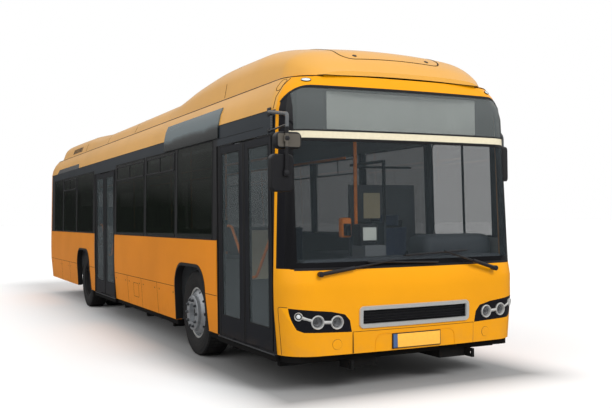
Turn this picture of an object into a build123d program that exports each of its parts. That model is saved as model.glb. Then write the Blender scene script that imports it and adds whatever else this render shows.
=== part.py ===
from build123d import *
from math import cos, pi, sin
import os

# City bus with a low floor, two door openings on the kerb side and a fairing along the roof.
# Millimetres, +Z up. The front looks along -Y and the doors are on the -X side. The origin is
# on the ground, midway between the tips of the mirrors and the rear wall.

os.makedirs("parts", exist_ok=True)

# ---------------------------------------------------------------- driving dimensions
body_length = 12130
half_width = 1275             # at the waist, the widest level of the body
mirror_reach = 400            # how far the kerb side mirror stands ahead of the front face
wheelbase = 5945
front_axle_behind = 2645      # front axle, behind the front face
wall = 60                     # thickness of every wall, door frame and corner post
pane = 8                      # thickness of the bonded glass
fit = 0.3                     # clearance between pieces that only just touch
moving_gap = 5                # clearance round lids, hatches and leaves
pin_gap = 0.06                # radial running clearance of pins and hubs

front_y = (mirror_reach - body_length) / 2
rear_y = front_y + body_length
front_axle_y = front_y + front_axle_behind
rear_axle_y = front_axle_y + wheelbase
rear_axle_behind = front_axle_behind + wheelbase

# heights above the ground
skirt_bottom = 345
skirt_top = 742
waist_crease = 960
screen_bottom = 1090
waist = 1313
window_top = 2360
band_top = 2487
roof_seam = 2794
floor_top = skirt_bottom
floor_thickness = 60
rear_floor_top = 760
engine_cover_top = 1200

front_bow = 68
front_corner_radius = 300
rear_corner_radius = 150
corner_depth = 320            # where the corner pieces end, behind the front face
rear_corner = body_length - 230
roof_half_width = half_width - 163


def behind(distance):
    """The y of a point this far behind the front face."""
    return front_y + distance


def block(x, y, z, mode=Mode.ADD):
    """A box between two values of x, y and z."""
    centre = ((x[0] + x[1]) / 2, (y[0] + y[1]) / 2, (z[0] + z[1]) / 2)
    with Locations(centre):
        Box(x[1] - x[0], y[1] - y[0], z[1] - z[0], mode=mode)


def rod(start, end, radius, mode=Mode.ADD):
    """A round bar from one point to another."""
    axis = Vector(*end) - Vector(*start)
    with Locations(Plane(origin=start, z_dir=axis)):
        Cylinder(radius, axis.length, align=(Align.CENTER, Align.CENTER, Align.MIN), mode=mode)


def save(part, label):
    part.label = label
    export_step(part, f"parts/{label}.step")


# ---------------------------------------------------------------- body surface
# height, distance in from the widest level, front setback, rear setback
BODY_SECTIONS = [
    (skirt_bottom, 30, 15, 60),
    (skirt_top, 3, 0, 0),
    (waist_crease, 0, 0, 0),
    (screen_bottom, 0, 28, 0),
    (band_top, 25, 78, 30),
    (2600, 49, 92, 40),
    (2700, 93, 115, 75),
    (roof_seam, half_width - roof_half_width, 150, 150),
]


def body_outline(tuck, front, rear, inset):
    """One level section of the body: bowed front and rounded corners."""
    x = half_width - tuck - inset
    y_front = behind(front + inset)
    y_rear = behind(body_length - rear - inset)
    with BuildSketch() as outline:
        with BuildLine():
            Polyline((x, y_front + front_bow), (x, y_rear), (-x, y_rear), (-x, y_front + front_bow))
            ThreePointArc((-x, y_front + front_bow), (0, y_front), (x, y_front + front_bow))
        make_face()
        fillet(outline.vertices().group_by(Axis.Y)[0], front_corner_radius - inset)
        fillet(outline.vertices().group_by(Axis.Y)[-1], rear_corner_radius - inset)
    return outline.sketch


def body_volume(inset):
    """All that lies inside the body surface moved in by the inset."""
    with BuildPart() as volume:
        for height, tuck, front, rear in BODY_SECTIONS:
            with BuildSketch(Plane.XY.offset(height)):
                add(body_outline(tuck, front, rear, inset))
        loft(ruled=True)
    return volume.part


outer_volume = body_volume(0)
inner_volume = body_volume(wall)

with BuildPart() as shell:
    add(outer_volume)
    add(inner_volume, mode=Mode.SUBTRACT)

with BuildPart() as skin:
    add(outer_volume)
    add(body_volume(pane), mode=Mode.SUBTRACT)

wide = (-2000, 2000)
kerb_side = (-2000, -900)
road_side = (900, 2000)
corner_y = (behind(-100), behind(corner_depth))
saloon_y = (behind(corner_depth), behind(rear_corner))

# ---------------------------------------------------------------- doors and windows
front_door_rear = 1745
middle_door_front = rear_axle_behind - 2380
middle_door_rear = rear_axle_behind - 960
# name, front jamb, rear jamb, top
DOORWAYS = [
    ("front", corner_depth, front_door_rear, 2280),
    ("middle", middle_door_front, middle_door_rear, 2300),
]
rear_glass_half_width = half_width - 475
rear_glass_bottom = 1500
rear_glass_top = 2150
post_width = 70
windows_end = body_length - 570


def slim_posts(fronts):
    """The front and rear edge of each post between two panes."""
    return [(front, front + post_width) for front in fronts]


# front and rear edge of each window post, behind the front face
KERB_POSTS = [
    (front_door_rear, front_door_rear + 120),
    *slim_posts([3095, 4455]),
    (middle_door_front - 95, middle_door_front),
    (middle_door_rear, middle_door_rear + 120),
    *slim_posts([windows_end - 2405, windows_end - 1040]),
    (windows_end, rear_corner),
]
ROAD_POSTS = [
    (corner_depth, corner_depth + 100),
    *slim_posts([1515, 3000, 4420, 5840, 7260, windows_end - 2880, windows_end - 1460]),
    (windows_end, rear_corner),
]
SIDES = [("kerb", -1, kerb_side, KERB_POSTS), ("road", 1, road_side, ROAD_POSTS)]


def doorway_cuts():
    """Take the two doorways out of a piece of the kerb side wall."""
    for _, front, rear, top in DOORWAYS:
        block(kerb_side, (behind(front), behind(rear)), (0, top), mode=Mode.SUBTRACT)


def header(front, rear, top):
    """The strip of wall over a doorway, up to the height of the window tops."""
    with BuildPart() as strip:
        add(shell.part)
        block(kerb_side, (behind(front), behind(rear)), (top, window_top), mode=Mode.INTERSECT)
    return strip.part


# ---------------------------------------------------------------- wheel arches
arch_half_width = 517
arch_foot = 555
arch_top = 1015
arch_radius = 265

with BuildPart() as arches:
    for axle_y in (front_axle_y, rear_axle_y):
        with BuildSketch(Plane.YZ.offset(wide[0])) as arch:
            with BuildLine():
                Polyline((axle_y - arch_foot, 0), (axle_y - arch_foot, skirt_bottom),
                         (axle_y - arch_half_width, skirt_top), (axle_y - arch_half_width, arch_top),
                         (axle_y + arch_half_width, arch_top), (axle_y + arch_half_width, skirt_top),
                         (axle_y + arch_foot, skirt_bottom), (axle_y + arch_foot, 0), close=True)
            make_face()
            fillet(arch.vertices().group_by(Axis.Y)[-1], arch_radius)
        extrude(amount=wide[1] - wide[0])

# ---------------------------------------------------------------- side walls
with BuildPart() as skirts:
    add(shell.part)
    block(wide, saloon_y, (skirt_bottom, skirt_top), mode=Mode.INTERSECT)
    doorway_cuts()
    add(arches.part, mode=Mode.SUBTRACT)
save(skirts.part, "skirts")

with BuildPart() as waist_panels:
    add(shell.part)
    block(wide, saloon_y, (skirt_top, waist), mode=Mode.INTERSECT)
    doorway_cuts()
    add(arches.part, mode=Mode.SUBTRACT)
save(waist_panels.part, "waist_panels")

with BuildPart() as post_places:
    for _, _, side_x, posts in SIDES:
        for front, rear in posts:
            block(side_x, (behind(front), behind(rear)), (waist, window_top))

with BuildPart() as window_posts:
    add(shell.part)
    add(post_places.part, mode=Mode.INTERSECT)
save(window_posts.part, "window_posts")

with BuildPart() as glass_places:
    for _, _, side_x, posts in SIDES:
        for (_, front), (rear, _) in zip(posts, posts[1:]):
            if (side_x, front) != (kerb_side, DOORWAYS[1][1]):
                block(side_x, (behind(front), behind(rear)), (waist, window_top))
    block((-rear_glass_half_width, rear_glass_half_width), (behind(rear_corner), rear_y + 100),
          (rear_glass_bottom, rear_glass_top))

with BuildPart() as saloon_windows:
    add(skin.part)
    add(glass_places.part, mode=Mode.INTERSECT)
save(saloon_windows.part, "saloon_windows")

with BuildPart() as cant_rails:
    add(shell.part)
    block(wide, saloon_y, (DOORWAYS[0][3], band_top), mode=Mode.INTERSECT)
    block(wide, saloon_y, (0, window_top), mode=Mode.SUBTRACT)
    for _, front, rear, top in DOORWAYS:
        add(header(front, rear, top))
save(cant_rails.part, "cant_rails")

with BuildPart() as cove_panels:
    add(shell.part)
    block(wide, saloon_y, (band_top, roof_seam), mode=Mode.INTERSECT)
save(cove_panels.part, "cove_panels")

roof_thickness = 60
with BuildPart() as roof_panel:
    add(inner_volume)
    block(wide, (behind(-100), rear_y), (roof_seam - roof_thickness, roof_seam), mode=Mode.INTERSECT)
save(roof_panel.part, "roof_panel")

# ---------------------------------------------------------------- front of the body
bumper_top = 535
bumper_depth = 200
bumper_joint_x = 650
joint_gap = 3
grille_half_width = 580
grille_bottom = 571
grille_top = 743
# Points of each lamp unit's outline: distance in from the side of the body, height.
HEADLAMP_OUTLINE = [(23, 763), (63, 673), (119, 576), (175, 551), (614, bumper_top + 1),
                    (595, 637), (546, 693), (418, 722)]
# distance in from the side, height, radius of the lamps in each unit
HEADLAMPS = [(135, 690, 38), (290, 637, 62), (470, 628, 62)]
lamp_recess = 30
strip_bottom = 2222
strip_top = 2290
sign_top = 2690
glass_half_width = half_width - 35
glass_corner_top = 270
glass_corner_bottom = 70


def bow(x):
    """How far the front surface falls back at this distance from the centre line."""
    return front_bow * (x / half_width) ** 2


with BuildPart() as headlamp_prism:
    for side in (-1, 1):
        with BuildSketch(Plane.XZ.offset(-front_y - corner_depth)):
            with BuildLine():
                Polyline(*[(side * (half_width - x), z) for x, z in HEADLAMP_OUTLINE], close=True)
            make_face()
        extrude(amount=corner_depth + 100)

with BuildPart() as lamp_pockets:
    for side in (-1, 1):
        for inboard, z, radius in HEADLAMPS:
            x = half_width - inboard
            rod((side * x, behind(-100), z), (side * x, behind(bow(x) + lamp_recess), z), radius)

with BuildPart() as grille_prism:
    block((-grille_half_width, grille_half_width), corner_y, (grille_bottom, grille_top))

with BuildPart() as headlamps:
    add(shell.part)
    add(headlamp_prism.part, mode=Mode.INTERSECT)
    add(lamp_pockets.part, mode=Mode.SUBTRACT)
save(headlamps.part, "headlamps")

with BuildPart() as front_bumper:
    add(shell.part)
    block(wide, (behind(-100), behind(bumper_depth)), (skirt_bottom, bumper_top), mode=Mode.INTERSECT)
    for side in (-1, 1):
        joint_x = side * bumper_joint_x
        block((joint_x - joint_gap / 2, joint_x + joint_gap / 2), corner_y, (0, bumper_top),
              mode=Mode.SUBTRACT)
save(front_bumper.part, "front_bumper")

with BuildPart() as front_panel:
    add(shell.part)
    block(wide, corner_y, (skirt_bottom, screen_bottom), mode=Mode.INTERSECT)
    block(wide, (behind(-100), behind(bumper_depth)), (0, bumper_top), mode=Mode.SUBTRACT)
    add(headlamp_prism.part, mode=Mode.SUBTRACT)
    add(grille_prism.part, mode=Mode.SUBTRACT)
save(front_panel.part, "front_panel")

grille_frame = 22
grille_slat = 8
grille_pitch = 26
slat_y = (behind(30), behind(50))
with BuildPart() as grille:
    add(shell.part)
    add(grille_prism.part, mode=Mode.INTERSECT)
    block((-grille_half_width + grille_frame, grille_half_width - grille_frame), corner_y,
          (grille_bottom + grille_frame, grille_top - grille_frame), mode=Mode.SUBTRACT)
    slat_count = int((grille_top - grille_bottom - 2 * grille_frame) / grille_pitch)
    for index in range(1, slat_count + 1):
        z = grille_bottom + grille_frame + index * grille_pitch - grille_slat
        block((-grille_half_width + grille_frame, grille_half_width - grille_frame), slat_y,
              (z, z + grille_slat))
save(grille.part, "grille")

with BuildPart() as corner_rounding:
    with BuildSketch(Plane.XZ.offset(-behind(corner_depth))) as face:
        with Locations((0, (screen_bottom + sign_top) / 2)):
            Rectangle(2 * glass_half_width, sign_top - screen_bottom)
        fillet(face.vertices().group_by(Axis.Y)[-1], glass_corner_top)
        fillet(face.vertices().group_by(Axis.Y)[0], glass_corner_bottom)
    extrude(amount=corner_depth + 100)

# The opening for the front glass is a wedge in plan, so that its side faces cross the corners square.
wedge_outside = (glass_half_width + 200, 75)
wedge_inside = (glass_half_width - 260, 340)
with BuildPart() as glass_prism:
    with BuildSketch(Plane.XY.offset(screen_bottom)):
        with BuildLine():
            Polyline((-wedge_outside[0], behind(wedge_outside[1])),
                     (-wedge_inside[0], behind(wedge_inside[1])),
                     (wedge_inside[0], behind(wedge_inside[1])),
                     (wedge_outside[0], behind(wedge_outside[1])),
                     (wedge_outside[0], behind(-100)),
                     (-wedge_outside[0], behind(-100)), close=True)
        make_face()
    extrude(amount=sign_top - screen_bottom)
    add(corner_rounding.part, mode=Mode.INTERSECT)

with BuildPart() as front_cap:
    add(shell.part)
    block(wide, corner_y, (screen_bottom, roof_seam), mode=Mode.INTERSECT)
    add(glass_prism.part, mode=Mode.SUBTRACT)
save(front_cap.part, "front_cap")

# label, bottom, top of each pane of the front
FRONT_PANES = [
    ("windscreen", screen_bottom, strip_bottom),
    ("sign_strip", strip_bottom, strip_top),
    ("destination_glass", strip_top, sign_top),
]
for label, bottom, top in FRONT_PANES:
    with BuildPart() as front_pane:
        add(skin.part)
        add(glass_prism.part, mode=Mode.INTERSECT)
        block(wide, corner_y, (bottom, top), mode=Mode.INTERSECT)
    save(front_pane.part, label)

# ---------------------------------------------------------------- rear of the body
hatch_half_width = half_width - 375
hatch_bottom = 480
hatch_top = 1350
rear_cut_y = (behind(rear_corner), rear_y + 100)
lug_bottom = 800
lug_top = 940
lug_width = 25
# height and radius of the round lamps in each rear corner
REAR_LAMPS = [(1480, 50), (1350, 50), (1220, 50), (1090, 50)]
rear_lamp_x = half_width - 205
lamp_depth = 40
lamp_proud = 12


def rear_lamp_rods(mode):
    for side in (-1, 1):
        for z, radius in REAR_LAMPS:
            rod((side * rear_lamp_x, rear_y - lamp_depth, z), (side * rear_lamp_x, rear_y + lamp_proud, z),
                radius, mode=mode)


with BuildPart() as rear_panel:
    add(shell.part)
    block(wide, rear_cut_y, (skirt_bottom, roof_seam), mode=Mode.INTERSECT)
    block((-hatch_half_width - moving_gap, hatch_half_width + moving_gap), rear_cut_y,
          (hatch_bottom - moving_gap, hatch_top + moving_gap), mode=Mode.SUBTRACT)
    block((-rear_glass_half_width, rear_glass_half_width), rear_cut_y,
          (rear_glass_bottom, rear_glass_top), mode=Mode.SUBTRACT)
    rear_lamp_rods(Mode.SUBTRACT)
    for side in (-1, 1):
        outer_x = side * (hatch_half_width + moving_gap + lug_width)
        edge_x = side * (hatch_half_width + moving_gap)
        inner_x = side * (hatch_half_width - lug_width)
        lug_y = rear_y - wall - lug_width
        block(sorted((outer_x, edge_x)), (lug_y, rear_y - wall), (lug_bottom, lug_top))
        block(sorted((edge_x, inner_x)), (lug_y, rear_y - wall - fit), (lug_bottom, lug_top))
save(rear_panel.part, "rear_panel")

with BuildPart() as tail_lamps:
    rear_lamp_rods(Mode.ADD)
save(tail_lamps.part, "tail_lamps")

with BuildPart() as engine_hatch:
    add(shell.part)
    block((-hatch_half_width, hatch_half_width), rear_cut_y, (hatch_bottom, hatch_top),
          mode=Mode.INTERSECT)
save(engine_hatch.part, "engine_hatch")

# ---------------------------------------------------------------- roof fairings
dome_skin = 40
ledge_skin = 60
dome_end = 3900
cover_start = dome_end + moving_gap
# distance behind the front face, distance of the foot and of the shoulder in from the roof's edge,
# height of the shoulder, height of the crown
FRONT_DOME = [
    (150, 272, 372, 2835, 2850),
    (300, 127, 232, 2905, 2975),
    (550, 27, 142, 3020, 3110),
    (1200, 4, 102, 3105, 3235),
    (2100, 4, 97, 3110, 3272),
    (3000, 4, 102, 3065, 3220),
    (dome_end, 4, 112, 2985, 3115),
]
REAR_COVER = [
    (cover_start, 4, 112, 2975, 3100),
    (body_length - 4430, 4, 112, 2975, 3100),
    (body_length - 2930, 4, 107, 3045, 3150),
    (body_length - 830, 4, 107, 3065, 3170),
    (rear_corner, 72, 182, 2890, 2950),
]


def fairing_volume(sections, inset):
    """A roof cover through upright sections: straight sides, rounded shoulders, arched top."""
    with BuildPart() as volume:
        for distance, foot, shoulder, shoulder_z, crown in sections:
            foot_x = roof_half_width - foot - inset
            shoulder_x = roof_half_width - shoulder - inset
            edge_z = shoulder_z - inset
            with BuildSketch(Plane.XZ.offset(-behind(distance))):
                with BuildLine():
                    Polyline((shoulder_x, edge_z), (foot_x, roof_seam), (-foot_x, roof_seam),
                             (-shoulder_x, edge_z))
                    ThreePointArc((-shoulder_x, edge_z), (0, crown - inset), (shoulder_x, edge_z))
                make_face()
        loft(ruled=True)
    return volume.part


lid_front = 320
lid_rear = 1150
lid_half_width = 550
lid_corner = 120
ledge_outside = 40            # the ledge reaches this far outside the lid
ledge_inside = 30             # and this far under it


def lid_prism(grow):
    """The upright outline of the service lid, grown on every side."""
    length = lid_rear - lid_front + 2 * grow
    with BuildPart() as prism:
        with BuildSketch(Plane.XY.offset(roof_seam)) as outline:
            with Locations((0, behind((lid_front + lid_rear) / 2))):
                Rectangle(2 * (lid_half_width + grow), length)
            fillet(outline.vertices().group_by(Axis.Y)[0], lid_corner + grow)
        extrude(amount=FRONT_DOME[4][4] - roof_seam)
    return prism.part


dome_outside = fairing_volume(FRONT_DOME, 0)
dome_inside = fairing_volume(FRONT_DOME, dome_skin)

with BuildPart() as lid_ledge:
    add(dome_inside)
    add(fairing_volume(FRONT_DOME, ledge_skin), mode=Mode.SUBTRACT)
    add(lid_prism(ledge_outside), mode=Mode.INTERSECT)
    add(lid_prism(-ledge_inside), mode=Mode.SUBTRACT)

with BuildPart() as fairing_front:
    add(dome_outside)
    add(dome_inside, mode=Mode.SUBTRACT)
    add(lid_prism(moving_gap), mode=Mode.SUBTRACT)
    add(lid_ledge.part)
save(fairing_front.part, "fairing_front")

with BuildPart() as roof_lid:
    add(dome_outside)
    add(fairing_volume(FRONT_DOME, dome_skin - fit), mode=Mode.SUBTRACT)
    add(lid_prism(0), mode=Mode.INTERSECT)
save(roof_lid.part, "roof_lid")

with BuildPart() as fairing_rear:
    add(fairing_volume(REAR_COVER, 0))
save(fairing_rear.part, "fairing_rear")

# ---------------------------------------------------------------- wheels
tyre_radius = 478
tyre_width = 275
tyre_shoulder = 30
rim_radius = 286
rim_wall = 24
rim_width = 210
wheel_x = half_width - 212.5  # centre of the single front and the outer rear tyre
twin_spacing = 340
kingpin_x = wheel_x - 112.5
kingpin_radius = 22
spindle_radius = 35


def ring(profile, x_centre, axle_y, side):
    """Turn a profile of (distance outboard, radius) round the axle."""
    with BuildPart() as body:
        with BuildSketch(Plane.XY.offset(tyre_radius)):
            with BuildLine():
                Polyline(*[(side * (x_centre + x), axle_y + r) for x, r in profile], close=True)
            make_face()
        revolve(axis=Axis((0, axle_y, tyre_radius), (1, 0, 0)))
    return body.part


half = tyre_width / 2
TYRE_PROFILE = [
    (-half + 18, rim_radius + fit), (half - 18, rim_radius + fit), (half - 6, 330), (half, 375),
    (half - 2, 425), (half - 12, tyre_radius - 12), (half - tyre_shoulder, tyre_radius - 2),
    (0, tyre_radius), (-half + tyre_shoulder, tyre_radius - 2), (-half + 12, tyre_radius - 12),
    (-half + 2, 425), (-half, 375), (-half + 6, 330),
]
rim_half = rim_width / 2
rim_bore = rim_radius - rim_wall
hub_bore = spindle_radius + pin_gap
spindle_end = rim_half - 35
disc_face = rim_half + 70
# The front wheel's disc stands out from the rim on a cone with hand holes. Its hub lies back inside
# the ring of wheel nuts and has a blind bore for the spindle.
FRONT_RIM_PROFILE = [
    (-rim_half, rim_bore), (-rim_half, rim_radius), (rim_half, rim_radius), (rim_half, rim_bore),
    (rim_half - 20, rim_bore), (rim_half + 30, 214), (rim_half + 30, 198), (disc_face - 5, 196),
    (disc_face, 190), (disc_face, 108), (disc_face - 60, 102), (disc_face - 60, 60),
    (disc_face - 45, 52), (disc_face - 45, 0), (spindle_end, 0), (spindle_end, hub_bore),
    (-20, hub_bore), (-20, 110), (60, 110), (disc_face - 75, 122), (disc_face - 24, 128),
    (disc_face - 24, 174), (rim_half + 8, 200), (rim_half - 45, rim_bore),
]
hand_hole_count = 10
hand_hole_radius = 17
cone_middle = (rim_half - 5, 234)   # distance outboard and radius, on the cone
cone_normal = (0.69, 0.72)
hand_hole_reach = 45
# The twin rear rims are one barrel with a disc between the tyres, so the wheel looks dished.
rear_hub_reach = 80           # the hub ends this far inboard of the inner tyre's centre
rear_spindle_end = 40
REAR_RIM_PROFILE = [
    (-twin_spacing - rim_half, rim_bore), (-twin_spacing - rim_half, rim_radius),
    (rim_half, rim_radius), (rim_half, rim_bore), (-150, rim_bore), (-150, 150),
    (-60, 130), (30, 100), (62, 80), (62, 0), (rear_spindle_end, 0), (rear_spindle_end, hub_bore),
    (-twin_spacing - rear_hub_reach, hub_bore), (-twin_spacing - rear_hub_reach, 110),
    (-175, 110), (-175, rim_bore),
]
for name, side, _, _ in SIDES:
    save(ring(TYRE_PROFILE, wheel_x, front_axle_y, side), f"front_tyre_{name}")
    with BuildPart() as front_rim:
        add(ring(FRONT_RIM_PROFILE, wheel_x, front_axle_y, side))
        for index in range(hand_hole_count):
            turn = 2 * pi * index / hand_hole_count
            ends = [(side * (wheel_x + cone_middle[0] + way * cone_normal[0] * hand_hole_reach),
                     front_axle_y + (cone_middle[1] + way * cone_normal[1] * hand_hole_reach) * cos(turn),
                     tyre_radius + (cone_middle[1] + way * cone_normal[1] * hand_hole_reach) * sin(turn))
                    for way in (-1, 1)]
            rod(*ends, hand_hole_radius, mode=Mode.SUBTRACT)
    save(front_rim.part, f"front_rim_{name}")
    with BuildPart() as twins:
        add(ring(TYRE_PROFILE, wheel_x, rear_axle_y, side))
        add(ring(TYRE_PROFILE, wheel_x - twin_spacing, rear_axle_y, side))
    save(twins.part, f"rear_tyres_{name}")
    save(ring(REAR_RIM_PROFILE, wheel_x, rear_axle_y, side), f"rear_rims_{name}")

# ---------------------------------------------------------------- axles
rail_x = (350, 430)
rear_rail_x = (380, 460)
rail_depth = 80
rear_rail_z = (rear_floor_top - floor_thickness - rail_depth, rear_floor_top - floor_thickness)
beam_bottom = 140
beam_top = 205                # also the underside of the frame rails
beam_half_depth = 75
upright_x = (kingpin_x - 210, kingpin_x - 130)
fork_reach = kingpin_x + 40
fork_half_depth = 40
fork_thickness = 45
knuckle_radius = 52
knuckle_half_height = 75
hub_start = wheel_x - 20
collar_radius = 70

with BuildPart() as front_axle:
    block((-upright_x[1], upright_x[1]), (front_axle_y - beam_half_depth, front_axle_y + beam_half_depth),
          (beam_bottom, beam_top))
    for side in (-1, 1):
        fork_y = (front_axle_y - fork_half_depth, front_axle_y + fork_half_depth)
        low = tyre_radius - knuckle_half_height - fit - fork_thickness
        high = tyre_radius + knuckle_half_height + fit
        block(sorted((side * upright_x[0], side * upright_x[1])), fork_y,
              (beam_top, high + fork_thickness))
        for z in (low, high):
            block(sorted((side * upright_x[1], side * fork_reach)), fork_y, (z, z + fork_thickness))
        rod((side * kingpin_x, front_axle_y, low), (side * kingpin_x, front_axle_y, high), kingpin_radius)
save(front_axle.part, "front_axle")

for name, side, _, _ in SIDES:
    with BuildPart() as knuckle:
        rod((side * kingpin_x, front_axle_y, tyre_radius - knuckle_half_height),
            (side * kingpin_x, front_axle_y, tyre_radius + knuckle_half_height), knuckle_radius)
        rod((side * (kingpin_x + 30), front_axle_y, tyre_radius),
            (side * (wheel_x + spindle_end - fit), front_axle_y, tyre_radius), spindle_radius)
        rod((side * (kingpin_x + 30), front_axle_y, tyre_radius),
            (side * (hub_start - fit), front_axle_y, tyre_radius), collar_radius)
        rod((side * kingpin_x, front_axle_y, 0), (side * kingpin_x, front_axle_y, 2 * tyre_radius),
            kingpin_radius + pin_gap, mode=Mode.SUBTRACT)
    save(knuckle.part, f"knuckle_{name}")

axle_tube_radius = 75
differential_radius = 190
differential_width = 300
perch_half_depth = 60
hub_inner = wheel_x - twin_spacing - rear_hub_reach - fit
spindle_tip = wheel_x + rear_spindle_end - fit
with BuildPart() as rear_axle:
    for reach, radius in ((hub_inner, axle_tube_radius), (spindle_tip, spindle_radius),
                          (differential_width / 2, differential_radius)):
        rod((-reach, rear_axle_y, tyre_radius), (reach, rear_axle_y, tyre_radius), radius)
    for side in (-1, 1):
        block(sorted((side * rear_rail_x[0], side * rear_rail_x[1])),
              (rear_axle_y - perch_half_depth, rear_axle_y + perch_half_depth),
              (tyre_radius, rear_rail_z[0]))
save(rear_axle.part, "rear_axle")

# ---------------------------------------------------------------- floor
floor_half_width = half_width - 50
floor_inset = 20
floor_front = 130
sill_x = half_width - 13      # the floor reaches out to here under the doors
step_y = middle_door_rear + 130
step_tread = 260
engine_cover_y = body_length - 1480
box_skin = 25
front_box_half = 560
front_box_inner = kingpin_x - 380
front_box_top = 1075
rear_box_half = 525
rear_box_inner = wheel_x - twin_spacing - 177.5
rear_box_top = 1045
# axle, half length, inner face, bottom and top of the housing over each pair of wheels
WHEEL_BOXES = [
    (front_axle_y, front_box_half, front_box_inner, floor_top, front_box_top),
    (rear_axle_y, rear_box_half, rear_box_inner, rear_floor_top - floor_thickness, rear_box_top),
]
low_floor_z = (floor_top - floor_thickness, floor_top)
step_z = (floor_top + rear_floor_top) / 2
platform_z = (rear_floor_top - floor_thickness, rear_floor_top)


def housing_blocks(grow, mode):
    """The outside of the four wheel housings, grown on every side but the foot."""
    for axle_y, half_length, inner_x, bottom, top in WHEEL_BOXES:
        for side in (-1, 1):
            block(sorted((side * (inner_x - grow), side * wide[1])),
                  (axle_y - half_length - grow, axle_y + half_length + grow),
                  (bottom, top + grow), mode=mode)


with BuildPart() as low_floor:
    with BuildSketch(Plane.XY.offset(low_floor_z[0])):
        add(body_outline(*BODY_SECTIONS[0][1:], floor_inset))
    extrude(amount=floor_thickness)
    block((-floor_half_width, floor_half_width), (behind(floor_front), behind(step_y)), low_floor_z,
          mode=Mode.INTERSECT)
    for _, front, rear, _ in DOORWAYS:
        block((-sill_x, -floor_half_width), (behind(front), behind(rear)), low_floor_z)
    for side in (-1, 1):
        block(sorted((side * front_box_inner, side * wide[1])),
              (front_axle_y - front_box_half, front_axle_y + front_box_half), low_floor_z,
              mode=Mode.SUBTRACT)
save(low_floor.part, "floor")

with BuildPart() as rear_platform:
    block(wide, (behind(step_y), behind(step_y) + floor_thickness), (low_floor_z[0], step_z))
    block(wide, (behind(step_y), behind(step_y) + step_tread + floor_thickness),
          (step_z - floor_thickness, step_z))
    block(wide, (behind(step_y) + step_tread, behind(step_y) + step_tread + floor_thickness),
          (step_z - floor_thickness, rear_floor_top))
    block(wide, (behind(step_y) + step_tread, behind(engine_cover_y)), platform_z)
    block(wide, (behind(engine_cover_y) - floor_thickness, behind(engine_cover_y)),
          (platform_z[0], engine_cover_top))
    block(wide, (behind(engine_cover_y) - floor_thickness, rear_y),
          (engine_cover_top - floor_thickness, engine_cover_top))
    add(inner_volume, mode=Mode.INTERSECT)
    housing_blocks(box_skin, Mode.SUBTRACT)
save(rear_platform.part, "rear_platform")

with BuildPart() as wheel_boxes:
    housing_blocks(box_skin, Mode.ADD)
    housing_blocks(0, Mode.SUBTRACT)
    add(inner_volume, mode=Mode.INTERSECT)
save(wheel_boxes.part, "wheel_boxes")

# ---------------------------------------------------------------- chassis frame and engine
rail_z = (beam_top, floor_top - floor_thickness)
rail_front = 150
hook_radius = 20
hook_thickness = 25
hook_half = 40
hook_y = behind(75)
hook_x = 640
hook_z = beam_top + hook_half
hook_bar_depth = 100
jack_pad_y = (behind(1250), behind(1350))
jack_pad_thickness = 10
member_half_width = half_width - 95
member_depth = 60
member_z = (rail_z[0] + 20, rail_z[1])
CROSSMEMBERS = [400, 1500, 3500, 4700, 5900, 7100]
rear_rail_end = body_length - 180
REAR_CROSSMEMBERS = [body_length - 1930, body_length - 240]

with BuildPart() as chassis_frame:
    for side in (-1, 1):
        rail = sorted((side * rail_x[0], side * rail_x[1]))
        bar = sorted((side * rail_x[0], side * (hook_x + hook_thickness)))
        eye = sorted((side * hook_x, side * (hook_x + hook_thickness)))
        rear_rail = sorted((side * rear_rail_x[0], side * rear_rail_x[1]))
        block(rail, (behind(rail_front), behind(step_y) + floor_thickness), rail_z)
        block(bar, (behind(rail_front), behind(rail_front + hook_bar_depth)), rail_z)
        block(eye, (hook_y - hook_half, behind(rail_front)), (hook_z - hook_half, hook_z + hook_half))
        rod((eye[0], hook_y, hook_z), (eye[1], hook_y, hook_z), hook_radius, mode=Mode.SUBTRACT)
        block(rail, jack_pad_y, (rail_z[0] - jack_pad_thickness, rail_z[0]))
        block(rear_rail, (behind(step_y + step_tread + floor_thickness), behind(rear_rail_end)), rear_rail_z)
    for distance in CROSSMEMBERS:
        block((-member_half_width, member_half_width), (behind(distance), behind(distance) + member_depth),
              member_z)
    for distance in REAR_CROSSMEMBERS:
        block((-rear_rail_x[1], rear_rail_x[1]), (behind(distance), behind(distance) + member_depth),
              rear_rail_z)
save(chassis_frame.part, "chassis_frame")

engine_y = (behind(body_length - 1430), behind(body_length - 280))
engine_z = (400, 1100)
with BuildPart() as engine:
    block((-rear_rail_x[0], rear_rail_x[0]), engine_y, engine_z)
save(engine.part, "engine")

# ---------------------------------------------------------------- doors
leaf_thickness = 35
leaf_frame = 62
leaf_meeting_frame = 105      # the upright of each leaf where the two meet
leaf_face_x = 20 - half_width
post_x = leaf_face_x + leaf_thickness / 2
post_to_jamb = 32
post_radius = 20
leaf_to_post = 30             # leaf edge from the post's axis
centre_gap = 8
arm_thickness = 10
arm_half_width = 12
arm_gap = 5
arm_offset = 15               # the hinge lies this far past the middle of the leaf
hinge_radius = 8
eye_radius = arm_half_width + 6
glass_recess = 4
leaf_bottom = floor_top + 2 * arm_gap + arm_thickness
glass_bottom = 555
leaf_x = (leaf_face_x, leaf_face_x + leaf_thickness)
leaf_glass_x = (leaf_face_x + glass_recess, leaf_face_x + glass_recess + pane)
arm_x = (post_x - arm_half_width, post_x + arm_half_width)

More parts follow.
